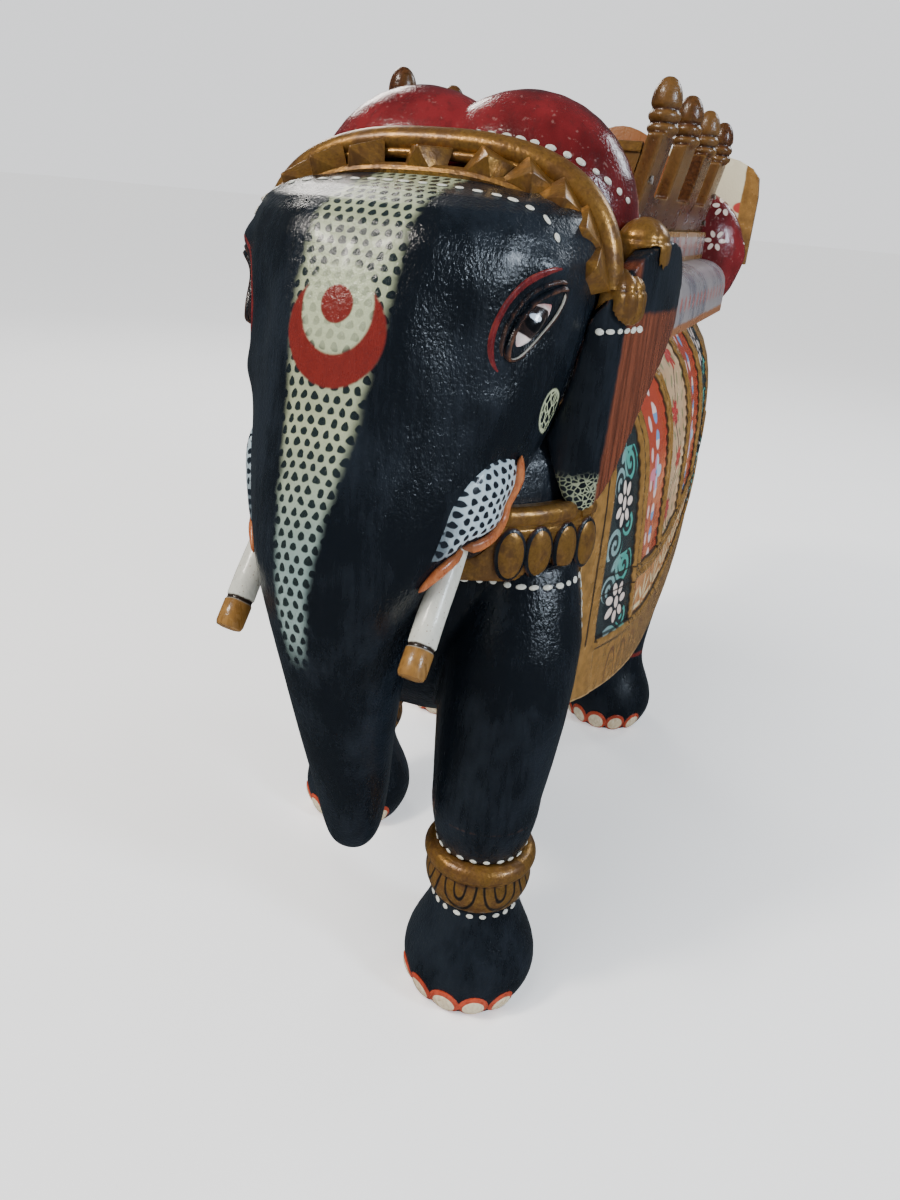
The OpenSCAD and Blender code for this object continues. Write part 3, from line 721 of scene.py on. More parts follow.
def red_paint(name, flowers):
    p = paints()
    paint = Paint(name, 0.2, 0.07)
    height, roughness, strokes, broad = varnish(paint, (4, 4, 12))
    red = tuple(p.red)
    colour = paint.mix(paint.step(broad, 0.5, 0.2), tint(red, 0.45), tint(red, 1.3))
    colour = paint.mix(paint.step(strokes, 0.6, 0.12) * 0.45, colour, (0.05, 0.012, 0.012))
    if flowers:
        u = paint.wrap(paint.x, 26)
        v = paint.wrap(paint.z, 24)
        spin = paint.math("ARCTAN2", v, u)
        reach = paint.math("SQRT", u * u + v * v)
        fold = paint.wrap(spin, math.pi / 3)
        petals = 1 - paint.step(paint.oval(reach * fold, reach - 5, 1.5, 2.4), 1.0, 0.3)
        colour = paint.mix(petals * 0.85, colour, (0.78, 0.66, 0.56))
    # painted sheen: pale pinkish patches over the red lacquer, standing in for its soft highlights
    painted_sheen = paint.step(paint.noise((3, 3, 3), 4.0), 0.66, 0.04)
    colour = paint.mix(painted_sheen * 0.15, colour, (0.6, 0.4, 0.35))
    return paint.finish(colour, 0.06 + roughness * 0.5, height, 0.5)


def flower(paint, u, v, count, reach, width, length):
    """A ring of oval petals around a point."""
    spin = paint.math("ARCTAN2", v, u)
    away = paint.math("SQRT", u * u + v * v)
    fold = paint.wrap(spin, 2 * math.pi / count)
    return 1 - paint.step(paint.oval(away * fold, away - reach, width, length), 1.0, 0.3)


def scroll(paint, u, v, turn, gap, reach):
    """A thick painted spiral."""
    spin = paint.math("ARCTAN2", v, u) * (turn / (2 * math.pi))
    away = paint.math("SQRT", u * u + v * v)
    band = paint.wrap(away / gap + spin, 1.0)
    line = 1 - paint.step(abs(band) + wobble(paint, 0.05), 0.24, 0.05)
    return line * (1 - paint.step(away, reach, 0.5))


# Bands of the side cloth from its front edge back, with the relief of each
BANDS = [(-140, -119, "border", 1.0), (-119, -110, "border", 1.4), (-110, -70, "scrolls", 0.0),
         (-70, -56, "rib", 1.0), (-56, -18, "salmon", 0.0), (-18, -8, "rib", 1.0),
         (-8, 40, "vine", 0.0), (40, 50, "rib", 1.0), (50, 88, "salmon", 0.0),
         (88, 100, "rib", 1.0), (100, 132, "scrolls", 0.0), (132, 160, "border", 1.2)]
HEM_Z, RIDGE_Z, LEAF_Z = 146, 178, 210


def slant(y):
    t = min(1, max(0, (y + 118) / 36))
    return 0.25 * t * t * (3 - 2 * t)


def hem_height(y):
    t = (y + 135) / 282
    return HEM_Z + 13 * (max(0, 0.37 - t) / 0.37) ** 1.2 + 56 * (max(0, t - 0.4) / 0.6) ** 2


def cloth_paint():
    p = paints()
    paint = Paint("cloth_paint", 0.15, 0.1)
    height, roughness, strokes, broad = varnish(paint, (3, 6, 6))
    y, z = paint.y, paint.z
    u = y + (z - 225) * 0.25 * paint.step(y, -100, 18)
    t = (y + 135) / 282
    rear = paint.most(t - 0.4, 0.0) / 0.6
    fore = paint.math("POWER", paint.most(0.37 - t, 0.0) / 0.37, 1.2)
    low = z - rear * rear * 56 - fore * 13
    gold_high, gold_low = tint(p.gold, 0.8), tint(p.gold, 0.5)
    colour = paint.mix(paint.step(strokes, 0.48, 0.2), gold_low, gold_high)
    base = colour

    def band(low_u, high_u, soft=0.35):
        return paint.between(u + wobble(paint, 0.35), low_u, high_u, soft)

    def panel(low_u, high_u):
        return band(low_u, high_u) * paint.step(low + wobble(paint, 0.5), LEAF_Z + 5, 0.5)

    # dark bands with turquoise scrolls and pale flowers
    for start, end in ((-110, -70), (100, 132)):
        middle = (start + end) / 2
        w = u - middle
        cell = paint.wrap(z - 203, 59)
        ground = paint.mix(broad, (0.010, 0.014, 0.016), (0.035, 0.045, 0.045))
        leafy = paint.most(
            scroll(paint, w - 7, cell - 21, 1, 6.4, 12), scroll(paint, w + 8, cell + 22, -1, 6.2, 11),
            scroll(paint, w + 10, cell - 12, -1, 5.6, 8), scroll(paint, w - 9, cell + 12, 1, 5.6, 8),
            flower(paint, w, cell - 29, 5, 6.5, 2.4, 5.0))
        turquoise = paint.mix(paint.step(w + wobble(paint, 7, 20), -3, 8),
                              (0.20, 0.30, 0.30), tuple(p.turquoise))
        ground = paint.mix(leafy, ground, turquoise)
        petals = paint.most(flower(paint, w, cell, 7, 9.2, 2.6, 3.9),
                            1 - paint.step(paint.oval(w, cell, 2.6, 3.8), 1.0, 0.3))
        clear = 1 - paint.step(paint.oval(w, cell, 14.5, 14.5), 1.0, 0.1)
        ground = paint.mix(clear, ground, (0.012, 0.016, 0.018))
        ground = paint.mix(petals, ground, paint.mix(broad, (0.62, 0.42, 0.36), (0.82, 0.78, 0.70)))
        colour = paint.mix(band(start, end) * paint.step(low, RIDGE_Z + 2, 0.5), colour, ground)

    # salmon bands with strings of ovals
    for start, end in ((-56, -18), (50, 88)):
        w = u - (start + end) / 2
        ground = paint.mix(paint.step(broad + strokes * 0.3, 0.62, 0.15), tint(p.salmon, 0.7),
                           (0.62, 0.22, 0.10))
        ground = paint.mix(paint.step(z, 268, 22), ground, tint(p.salmon, 0.95))
        bead = paint.wrap(z + 3, 14.5)
        string = 1 - paint.step(paint.oval(w - 1, bead, 3.4, 5.6), 1.0, 0.25)
        blue = paint.step(paint.math("SINE", (z + 3) * (math.pi / 14.5)), 0.0, 0.05)
        ground = paint.mix(string, ground, paint.mix(blue, (0.74, 0.56, 0.52), (0.16, 0.30, 0.52)))
        second = 1 - paint.step(paint.oval(w + 9, paint.wrap(z + 9, 17), 2.2, 4.2), 1.0, 0.25)
        ground = paint.mix(second, ground, (0.70, 0.46, 0.42))
        bloom = paint.wrap(z - 268, 74)
        petals = flower(paint, w, bloom, 4, 6.5, 4.0, 4.6)
        ground = paint.mix(petals, ground,
                           paint.mix(paint.step(w, 0, 1), (0.62, 0.20, 0.28), (0.42, 0.55, 0.66)))
        colour = paint.mix(panel(start, end), colour, ground)

    # peach band with a vine
    w = u - 16
    ground = paint.mix(broad, tint(p.peach, 0.72), (0.78, 0.58, 0.34))
    stem = paint.math("SINE", z * (2 * math.pi / 62)) * 9
    vine = 1 - paint.step(abs(w - stem), 0.9, 0.35)
    blade = paint.oval(paint.wrap(w - stem + 7, 14), paint.wrap(z, 10.4), 2.0, 3.4)
    leaf = 1 - paint.step(blade, 1.0, 0.3)
    ground = paint.mix(leaf * 0.8, ground, (0.20, 0.22, 0.10))
    ground = paint.mix(vine, ground, (0.045, 0.03, 0.035))
    for shift, sway in ((0, 9), (31, -9)):
        cluster = flower(paint, w - sway, paint.wrap(z - 15.5 - shift, 62), 7, 5.2, 2.0, 3.2)
        core = 1 - paint.step(paint.oval(w - sway, paint.wrap(z - 15.5 - shift, 62), 2.2, 2.6), 1.0, 0.3)
        ground = paint.mix(paint.most(cluster, core), ground, (0.45, 0.035, 0.03))
    colour = paint.mix(panel(-8, 40), colour, ground)

    # leaves along the strip over the ridge, and along the hem
    strip = paint.between(low, RIDGE_Z + 3, LEAF_Z - 5, 0.5) * paint.step(u, -66, 1)
    orange = paint.mix(strokes, (0.34, 0.13, 0.045), (0.56, 0.27, 0.09))
    blades = flower(paint, paint.wrap(y, 27), low - 184, 8, 10, 1.6, 7.0)
    orange = paint.mix(blades * 0.85, orange, (0.74, 0.62, 0.36))
    colour = paint.mix(strip, colour, orange)
    hem = 1 - paint.step(low, RIDGE_Z - 4, 0.6)
    tongues = paint.between(paint.oval(paint.wrap(y, 20), low - 150, 7.5, 19), 0.72, 1.0, 0.1)
    colour = paint.mix(hem * 0.6, colour, base)
    colour = paint.mix(hem * tongues * 0.75 * paint.step(u, -104, 1), colour, (0.10, 0.035, 0.015))

    # thin black lines beside the gold
    lines = 1 - paint.step(abs(u + 119 + wobble(paint, 0.5)), 0.8, 0.3)
    for at in (-110, -70, -63, -56, -18, -8, 40, 50, 88, 100, 132):
        lines = paint.most(lines, 1 - paint.step(abs(u - at + wobble(paint, 0.5)), 0.65, 0.35))
    upright = lines * paint.step(low, RIDGE_Z, 0.5)
    for at in (RIDGE_Z - 4, RIDGE_Z + 3, LEAF_Z - 5, LEAF_Z + 5):
        level = 1 - paint.step(abs(low - at), 0.6, 0.35)
        upright = paint.most(upright, level * paint.step(u, -110, 1))
    colour = paint.mix(upright * 0.85, colour, (0.012, 0.008, 0.006))
    rubbed = paint.step(paint.mark("edge") + (strokes - 0.5) * 0.8, 0.45, 0.2)
    colour = paint.mix(rubbed * 0.45, colour, (0.50, 0.33, 0.15))
    return paint.finish(colour, roughness * 0.9, height, 0.30)


def pad_paint():
    paint = Paint("pad_paint")
    height, roughness, strokes, broad = varnish(paint, (8, 3, 8))
    colour = paint.mix(paint.step(broad, 0.5, 0.2), (0.15, 0.14, 0.16), (0.34, 0.30, 0.29))
    lip = 1 - paint.step(paint.z + wobble(paint, 1.2), 341, 1.0)
    colour = paint.mix(lip, colour, paint.mix(strokes, (0.20, 0.065, 0.022), (0.42, 0.17, 0.06)))
    rows = 1 - paint.step(paint.oval(paint.wrap(paint.y, 15), paint.z - 352, 3.0, 4.4), 1.0, 0.3)
    colour = paint.mix(rows * 0.8, colour, (0.36, 0.09, 0.07))
    return paint.finish(colour, roughness, height, 0.28)


def howdah_paint():
    p = paints()
    paint = Paint("howdah_stain")
    height, roughness, _, broad = varnish(paint, (7, 14, 5))
    grain = paint.noise((1.6, 22, 1.6), 4.0, 0.65)
    colour = paint.mix(paint.step(grain, 0.5, 0.2), tint(p.wood, 0.35), tuple(p.wood))
    gilt = paint.step(broad + paint.mark("edge") * 0.5, 0.58, 0.14)
    colour = paint.mix(gilt * 0.5, colour, tint(p.gold, 0.55))
    # painted shade: the hollows of the carved boards darkened to near black
    hollow = paint.step(-paint.mark("edge"), 0.3, 0.2)
    colour = paint.mix(hollow, colour, (0.02, 0.009, 0.005))
    return paint.finish(colour, roughness, height + grain * 0.5, 0.35)


def crest_paint():
    p = paints()
    paint = Paint("crest_paint")
    height, roughness, strokes, _ = varnish(paint)
    colour = paint.mix(strokes, tint(p.terracotta, 0.7), tint(p.terracotta, 1.6))
    edge = paint.step(abs(paint.mark("edge")), 0.35, 0.2)
    colour = paint.mix(edge * 0.8, colour, tuple(p.gold))
    return paint.finish(colour, roughness, height, 0.3)


def base_paint():
    paint = Paint("base_paint")
    height, roughness, strokes, broad = varnish(paint, (8, 8, 3))
    worn = paint.step(broad + strokes * 0.2, 0.6, 0.2)
    colour = paint.mix(worn, (0.17, 0.15, 0.16), (0.36, 0.32, 0.30))
    leaf = flower(paint, paint.wrap(paint.y, 22), paint.z - 380, 6, 4.4, 1.6, 3.2)
    colour = paint.mix(leaf * 0.7, colour, (0.34, 0.10, 0.07))
    rail = paint.most(paint.step(paint.z, 386, 0.4), 1 - paint.step(paint.z, 374, 0.4))
    colour = paint.mix(rail, colour, paint.mix(strokes, (0.14, 0.06, 0.025), (0.42, 0.24, 0.08)))
    return paint.finish(colour, roughness, height, 0.3)


def panel_paint():
    p = paints()
    paint = Paint("panel_paint")
    height, roughness, strokes, broad = varnish(paint, (6, 6, 6))
    x, z = paint.x, paint.z
    colour = paint.mix(broad, (0.56, 0.47, 0.30), (0.80, 0.74, 0.56))
    bloom = flower(paint, paint.wrap(x, 48), z - 408, 6, 9, 4.2, 6.0)
    colour = paint.mix(bloom, colour, (0.42, 0.05, 0.04))
    core = 1 - paint.step(paint.oval(paint.wrap(x, 48), z - 408, 3.2, 3.2), 1.0, 0.2)
    colour = paint.mix(core, colour, tuple(p.gold))
    frame_line = paint.step(abs(x) + wobble(paint, 0.8), 86, 0.6)
    stripe = paint.between(z + wobble(paint, 0.6), 378, 385, 0.5)
    colour = paint.mix(paint.most(frame_line, stripe), colour,
                       paint.mix(strokes, tuple(p.gold_shade), tint(p.gold, 1.2)))
    return paint.finish(colour, roughness, height, 0.3)


def make_finishes():
    p = paints()
    black = Paint("black_lacquer")
    colour, roughness, height = black_ground(black)
    black.finish(colour, roughness, height, 0.7)
    for make in (head_paint, eye_paint, lip_paint, ear_paint, tusk_paint, gold_paint, petal_paint, anklet_paint,
                 rear_leg_paint, cloth_paint, pad_paint, howdah_paint, crest_paint, base_paint,
                 panel_paint):
        make()
    red_paint("crown_lacquer", False)
    red_paint("bolster_lacquer", True)
    plain_paint("white_dash", tuple(p.white), tint(p.white, 0.75), (2, 2, 4), 0.08)
    plain_paint("lip_orange", (0.52, 0.17, 0.05), (0.26, 0.06, 0.02), (3, 3, 5))
    plain_paint("brow_red", (0.17, 0.012, 0.014), (0.07, 0.006, 0.008), (2, 2, 5))
    plain_paint("toenail_cream", (0.70, 0.62, 0.44), (0.50, 0.38, 0.24), (2, 2, 5))
    plain_paint("toenail_red", (0.48, 0.06, 0.02), (0.26, 0.03, 0.012), (2, 2, 5))
    plain_paint("bare_wood", (0.48, 0.30, 0.15), (0.32, 0.18, 0.08), (1.6, 1.6, 30))
    plain_paint("nail_steel", (0.28, 0.26, 0.24), (0.12, 0.09, 0.07), (1, 1, 1))


# ------------------------------------------------------------------ pieces

def stroke_surface(piece, places):
    """Presses or raises the surface: (point, reach along Y and Z, depth), in millimetres."""
    mesh = piece.data
    n = len(mesh.vertices)
    co = np.zeros(n * 3)
    normal = np.zeros(n * 3)
    mesh.vertices.foreach_get("co", co)
    mesh.vertex_normals.foreach_get("vector", normal)
    co, normal = co.reshape(-1, 3) / MM, normal.reshape(-1, 3)
    push = np.zeros(n)
    for (x, y, z), (reach_x, reach_y, reach_z), depth in places:
        for side in (1, -1):
            away = (((co[:, 0] - side * x) / reach_x) ** 2 + ((co[:, 1] - y) / reach_y) ** 2
                    + ((co[:, 2] - z) / reach_z) ** 2)
            push += depth * np.exp(-2 * away) * (0.5 if x == 0 else 1)
    mesh.vertices.foreach_set("co", ((co + normal * push[:, None]) * MM).ravel())
    mesh.update()


class ELEPHANT_OT_finishes(Operator):
    """Mixes every paint and lacquer"""
    bl_idname = "elephant.finishes"
    bl_label = "Finishes"

    def execute(self, context):
        make_finishes()
        return {"FINISHED"}


class ELEPHANT_OT_body(Operator):
    """Carves the body and the four legs as one flowing shape, then parts them at their joints"""
    bl_idname = "elephant.body"
    bl_label = "Body and legs"

    def execute(self, context):
        legs = ["leg_front_left", "leg_front_right", "leg_rear_left", "leg_rear_right"]
        whole = carve("body_carving", ["torso"] + legs, sizes().body_grain, 3)
        half = {}
        for name, low in (("torso_skin", False), ("legs", True)):
            part = new_object(name, whole.data.copy())
            pick(part)
            bpy.ops.object.mode_set(mode="EDIT")
            bpy.ops.mesh.select_all(action="SELECT")
            bpy.ops.mesh.bisect(plane_co=(0, 0, 116 * MM), plane_no=(0, 0, 1), use_fill=True,
                                clear_inner=not low, clear_outer=low)
            bpy.ops.object.mode_set(mode="OBJECT")
            half[name] = part
        bpy.data.objects.remove(whole)
        finish_piece(half["torso_skin"], FINISHES["black_lacquer"], ["torso"])
        pick(half["legs"])
        bpy.ops.mesh.separate(type="LOOSE")
        for part in list(context.selected_objects):
            middle = sum((v.co for v in part.data.vertices), Vector()) / len(part.data.vertices) / MM
            where = min(FEET, key=lambda f: math.dist(FEET[f], middle[:2]))
            if len(part.data.vertices) < 500:
                bpy.data.objects.remove(part)
                continue
            part.name = "leg_" + where + "_skin"
            paint = "rear_leg_lacquer" if where.startswith("rear") else "black_lacquer"
            finish_piece(part, FINISHES[paint], ["leg_" + where])
        tail = carve("tail_skin", ["tail"], 1.2 * MM, 3)
        finish_piece(tail, FINISHES["black_lacquer"], ["tail"])
        return {"FINISHED"}


class ELEPHANT_OT_head(Operator):
    """Carves the head and trunk, with the hollows of the temples and the ridges round the eyes"""
    bl_idname = "elephant.head"
    bl_label = "Head and trunk"

    def execute(self, context):
        head = carve("head_skin", ["head"], sizes().fine_grain, 5)
        stroke_surface(head, [
            ((66, -188, 354), (14, 17, 19), -4.2),
            ((68, -182, 374), (12, 15, 9), 3.4),
            ((48, -222, 352), (16, 16, 26), -5.0),
            ((60, -200, 322), (16, 18, 12), 2.2),
            ((28, -216, 384), (18, 18, 14), 2.6),
            ((60, -190, 298), (14, 20, 12), -2.4)])
        finish_piece(head, FINISHES["head_lacquer"], ["head"])
        return {"FINISHED"}


def both_sides(piece, material, name, nodes=(), angle=40):
    """Finishes a left piece and its mirror image as one pair."""
    other = mirror_copy(piece, name)
    pair = join(name, [piece, other])
    return finish_piece(pair, FINISHES[material], nodes, angle)


class ELEPHANT_OT_face(Operator):
    """Sets the eyes with their lids and brows, and the spotted lips with their carved edge"""
    bl_idname = "elephant.face"
    bl_label = "Eyes and lips"

    def execute(self, context):
        head = surface(bpy.data.objects["head_skin"])
        middle = Vector((66.5, -187.5, 354))
        along = Vector((13, 21, 25)).normalized()
        out = Vector((0.84, -0.54, 0.03))
        out = (out - along * out.dot(along)).normalized()
        across = out.cross(along)
        if across.z < 0:
            across = -across
        hit = lay(head, middle + out * 60, -out)
        middle = hit[0] - out * 0.4
        rows, columns = 12, 28
        verts, faces = [], []
        for i in range(rows + 1):
            r = i / rows
            for k in range(columns):
                a = 2 * math.pi * k / columns
                c, s = math.cos(a), math.sin(a)
                wide = 6.6 * (1 - abs(c) ** 2 * 0.5) * (1.08 if s > 0 else 0.85)
                dome = 4.4 * math.sqrt(max(0, 1 - r * r)) - 1.4 * r
                p = middle + along * (17.5 * c * r) + across * (wide * s * r) + out * dome
                verts.append(tuple(p * MM))
        for i in range(rows):
            for k in range(columns):
                m = (k + 1) % columns
                faces.append((i * columns + k, i * columns + m, (i + 1) * columns + m,
                              (i + 1) * columns + k))
        mesh = bpy.data.meshes.new("eyes")
        mesh.from_pydata(verts, [], faces)
        eye = new_object("eye_left", mesh)
        weld(eye)
        pick(eye)
        bpy.ops.object.mode_set(mode="EDIT")
        bpy.ops.mesh.select_all(action="DESELECT")
        bpy.ops.mesh.select_mode(type="EDGE")
        bpy.ops.mesh.select_non_manifold()
        bpy.ops.mesh.edge_face_add()
        bpy.ops.object.mode_set(mode="OBJECT")
        turn_out(eye)
        both_sides(eye, "eye_enamel", "eyes")

        def lid(name, reach, bulge, lift, width, thick, material, start, end, taper=0.3):
            points, normals = [], []
            for i in range(33):
                a = math.radians(start + (end - start) * i / 32)
                p = middle + along * (reach * math.cos(a)) + across * (bulge * math.sin(a))
                hit = lay(head, p + out * 50, -out)
                points.append(hit[0] + out * lift)
                normals.append(hit[1])
            made = bar(name, points, normals, width, thick, 10, taper)
            return both_sides(made, material, name)

        lid("upper_lids", 18.2, 7.2, 0.8, 1.1, 2.0, "black_lacquer", -6, 186)
        lid("lower_lids", 18.0, -6.4, 0.1, 0.8, 1.4, "black_lacquer", -4, 184)
        lid("lid_lines", 17.4, -5.9, 0.7, 0.35, 0.7, "white_dash", 6, 174)
        lid("lid_folds", 20.0, 11.4, -0.4, 1.1, 1.5, "black_lacquer", 8, 168)
        lid("brows", 24.5, 16.5, -0.5, 1.7, 0.9, "brow_red", 20, 196, 0.7)

        edge = [(-223, 258), (-219, 272), (-215, 284), (-206, 295), (-193, 300), (-180, 297),
                (-178, 284), (-182, 271), (-194, 267), (-206, 264), (-215, 259), (-223, 258)]
        outline = smooth_line([(0, a, b) for a, b in edge], 60)[:-1]
        heart = Vector((0, -201, 281))
        verts, faces, rows = [], [], 12
        for i in range(rows + 1):
            r = i / rows
            for p in outline:
                q = heart.lerp(p, max(r, 0.02))
                hit = side_lay(head, q.y, q.z)
                lift = 2.6 * (1 - r ** 3) - (0.8 if r > 0.97 else 0)
                verts.append(tuple((hit[0] + hit[1] * lift) * MM))
        n = len(outline)
        for i in range(rows):
            for k in range(n):
                m = (k + 1) % n
                faces.append((i * n + k, i * n + m, (i + 1) * n + m, (i + 1) * n + k))
        faces.append(tuple(range(n)))
        mesh = bpy.data.meshes.new("lips")
        mesh.from_pydata(verts, [], faces)
        lip = new_object("lip_left", mesh)
        turn_out(lip)
        modify(lip, "SOLIDIFY", thickness=1.6 * MM, offset=-1)
        both_sides(lip, "lip_paint", "lips")
        rim = smooth_line([(0, -181, 300), (0, -179, 288), (0, -182, 272), (0, -192, 265),
                           (0, -205, 261), (0, -216, 255), (0, -225, 247)], 44)
        hits = [side_lay(head, p.y, p.z, 1.2) for p in rim]
        hits = [h for h in hits if h]
        rim = bar("lip_rims", [h[0] for h in hits], [h[1] for h in hits], 2.9, 2.3, 12, 0.35)
        both_sides(rim, "lip_orange", "lip_rims")
        return {"FINISHED"}


class ELEPHANT_OT_headdress(Operator):
    """Carves the crown, its roll, the band of pyramids and the dashes beside them"""
    bl_idname = "elephant.headdress"
    bl_label = "Headdress"

    def execute(self, context):
        crown = carve("crown_skin", ["crown"], sizes().fine_grain, 4)
        finish_piece(crown, FINISHES["crown_lacquer"], ["crown"])
        steps = 90
        rounds = [arch_point(math.pi * (0.02 + 0.96 * i / steps)) for i in range(steps + 1)]
        points = [Vector((x, ROLL_Y, z + 3.5)) for x, z in rounds]
        normals = [Vector((p.x, 0, p.z - TOP_Z)).normalized() for p in points]
        raised = [p + n * 1.5 for p, n in zip(points, normals)]
        roll = bar("head_roll_main", raised, normals, 7.2, 6.0, 18)
        lower = bar("head_roll_lip", [p + Vector((0, -5.2, 0)) - n * 3.6 for p, n in zip(points, normals)],
                    normals, 2.2, 2.2, 10)
        upper = bar("head_roll_back", [p + Vector((0, 4.6, 0)) - n * 2.0 for p, n in zip(points, normals)],
                    normals, 2.6, 2.6, 10)
        roll = join("head_roll_skin", [roll, lower, upper])
        finish_piece(roll, FINISHES["gold_paint"], ["head_roll"])

        side = sizes().stud
        bpy.ops.object.select_all(action="DESELECT")
        bpy.ops.mesh.primitive_cone_add(vertices=4, radius1=side * 0.707, radius2=0.7 * MM,
                                        depth=12 * MM, location=(0, 0, 3.4 * MM),
                                        rotation=(0, 0, math.pi / 4))
        stud = context.object
        bpy.ops.object.transform_apply(location=True, rotation=True, scale=True)
        modify(stud, "BEVEL", width=0.5 * MM, segments=2)
        places = []
        count = 11
        for i in range(count):
            a = math.pi * (0.075 + 0.85 * i / (count - 1))
            x, z = arch_point(a, -3.5)
            tip = Vector((x, 0, (z - TOP_Z) * 1.15)).normalized()
            face = (tip * 0.75 + Vector((0, -1, 0))).normalized()
            places.append(((x, ROLL_Y - 14.0, z), face, tip.cross(Vector((0, 1, 0))), (1, 1, 1)))
        studs = scatter("studs", stud, places)
        band_points = [Vector((x, ROLL_Y - 14, z)) for x, z in
                       (arch_point(math.pi * (0.04 + 0.92 * i / 60), -7) for i in range(61))]
        band = bar("band", band_points, [Vector((p.x, 0, p.z - TOP_Z)).normalized() for p in band_points],
                   7.0, 3.0, 12)
        studs = join("stud_band_skin", [studs, band])
        finish_piece(studs, FINISHES["gold_paint"], ["stud_band"], 25)

        head = surface(bpy.data.objects["head_skin"])
        line = []
        for i in range(61):
            a = math.pi * (0.06 + 0.88 * i / 60)
            x, z = arch_point(a, 30)
            hit = lay(head, (x, ROLL_Y - 33, z + 20), (-x, -6, 350 - z - 20), 0.3)
            if hit:
                line.append(hit)
        dashes("forehead_dashes", line, 3, 7.6)
        crown_top = surface(crown)
        line = []
        for i in range(71):
            a = math.pi * (0.05 + 0.9 * i / 70)
            x, z = arch_point(a, 10.5)
            hit = lay(crown_top, (x, -260, z), (0, 1, 0), 0.3)
            if hit:
                line.append(hit)
        dashes("crown_dashes", line, 4, 7.0)
        return {"FINISHED"}


class ELEPHANT_OT_ears(Operator):
    """Carves the ears, the lotus buds above them and the ribbed ends of the roll"""
    bl_idname = "elephant.ears"
    bl_label = "Ears and buds"

    def execute(self, context):
        for side in ("left", "right"):
            ear = carve("ear_" + side + "_skin", ["ear_" + side], 1.3 * MM, 3)
            finish_piece(ear, FINISHES["ear_lacquer"], ["ear_" + side])
        for part, centre, radii, lobes in (
                ("ear_bud", (88, -113, 382), (13, 14, 14), 8),
                ("roll_end", (85, -137, 363), (13, 13, 13), 12)):
            left = carve(part + "_left_skin", [part + "_left"], 1.0 * MM, 2)
            mesh = left.data
            middle = Vector(centre)
            for v in mesh.vertices:
                p = v.co / MM - middle
                spin = math.atan2(p.y, p.x)
                rise = p.z / radii[2]
                groove = abs(math.sin(spin * lobes / 2)) ** 0.6
                deep = 0.45 if part == "ear_bud" else 1.1
                depth = deep * (1 - groove) * max(0, 1 - rise * rise) ** 0.5
                ring = 0.7 * math.exp(-((rise - 0.35) / 0.07) ** 2)
                v.co -= p.normalized() * ((depth + ring) * MM)
                if part == "roll_end" and p.z < 0:
                    flat, drop = min(1, p.xy.length / radii[0]), min(1, -rise)
                    square = max((flat ** 4 + drop ** 4) ** 0.25, 0.05)
                    swell = (flat * flat + drop * drop) ** 0.5 / square
                    v.co.xy += p.xy * (MM * 0.8 * (swell - 1))
            mesh.update()
            right = mirror_copy(left, part + "_right_skin")
            for piece, name in ((left, part + "_left"), (right, part + "_right")):
                finish_piece(piece, FINISHES["gold_paint"], [name], 60)
        ear = surface(bpy.data.objects["ear_left_skin"], bpy.data.objects["head_skin"])
        line = []
        for i in range(14):
            hit = lay(ear, (75 + 1.8 * i, -260, 350 + 0.1 * i), (0.05, 1, 0), 0.3)
            if hit and hit[0].y < -118:
                line.append(hit)
        row = dashes("ear_dashes_left", line, 7, 5.6)
        other = mirror_copy(row, "ear_dashes_right")
        finish_piece(other, FINISHES["white_dash"], rub=False)
        return {"FINISHED"}


class ELEPHANT_OT_tusks(Operator):
    """Turns the two short tusks with their grooved gold ends"""
    bl_idname = "elephant.tusks"
    bl_label = "Tusks"

    def execute(self, context):
        tilt = Matrix.Rotation(math.radians(139), 4, "X")
        profile = [(5.4, -20), (5.9, -4), (6.1, 10), (6.3, 30), (6.3, 41), (5.9, 41.6), (5.7, 42.5),
                   (5.9, 43.4), (6.3, 44), (6.25, 54), (5.6, 55.7), (4.4, 56)]
        sides = 32
        for side, name in ((1, "tusk_left"), (-1, "tusk_right")):
            verts, faces = [], []
            for radius, run in profile:
                for k in range(sides):
                    a = 2 * math.pi * k / sides
                    lump = 1 + 0.018 * math.sin(3 * a + run * 0.21) + 0.012 * math.sin(5 * a - run * 0.4)
                    verts.append((radius * lump * math.cos(a) * MM, radius * lump * math.sin(a) * MM, run * MM))
            for i in range(len(profile) - 1):
                for k in range(sides):
                    m = (k + 1) % sides
                    faces.append((i * sides + k, i * sides + m, (i + 1) * sides + m, (i + 1) * sides + k))
            faces.append(tuple(range(sides - 1, -1, -1)))
            faces.append(tuple((len(profile) - 1) * sides + k for k in range(sides)))
            mesh = bpy.data.meshes.new(name + "_skin")
            mesh.from_pydata(verts, [], faces)
            tusk = new_object(name + "_skin", mesh)
            mesh.transform(Matrix.Translation(Vector((side * 45, FRONT_Y - 3, TOP_Z - 98)) * MM) @ tilt)
            turn_out(tusk)
            finish_piece(tusk, FINISHES["tusk_paint"], [name], 50)
        return {"FINISHED"}


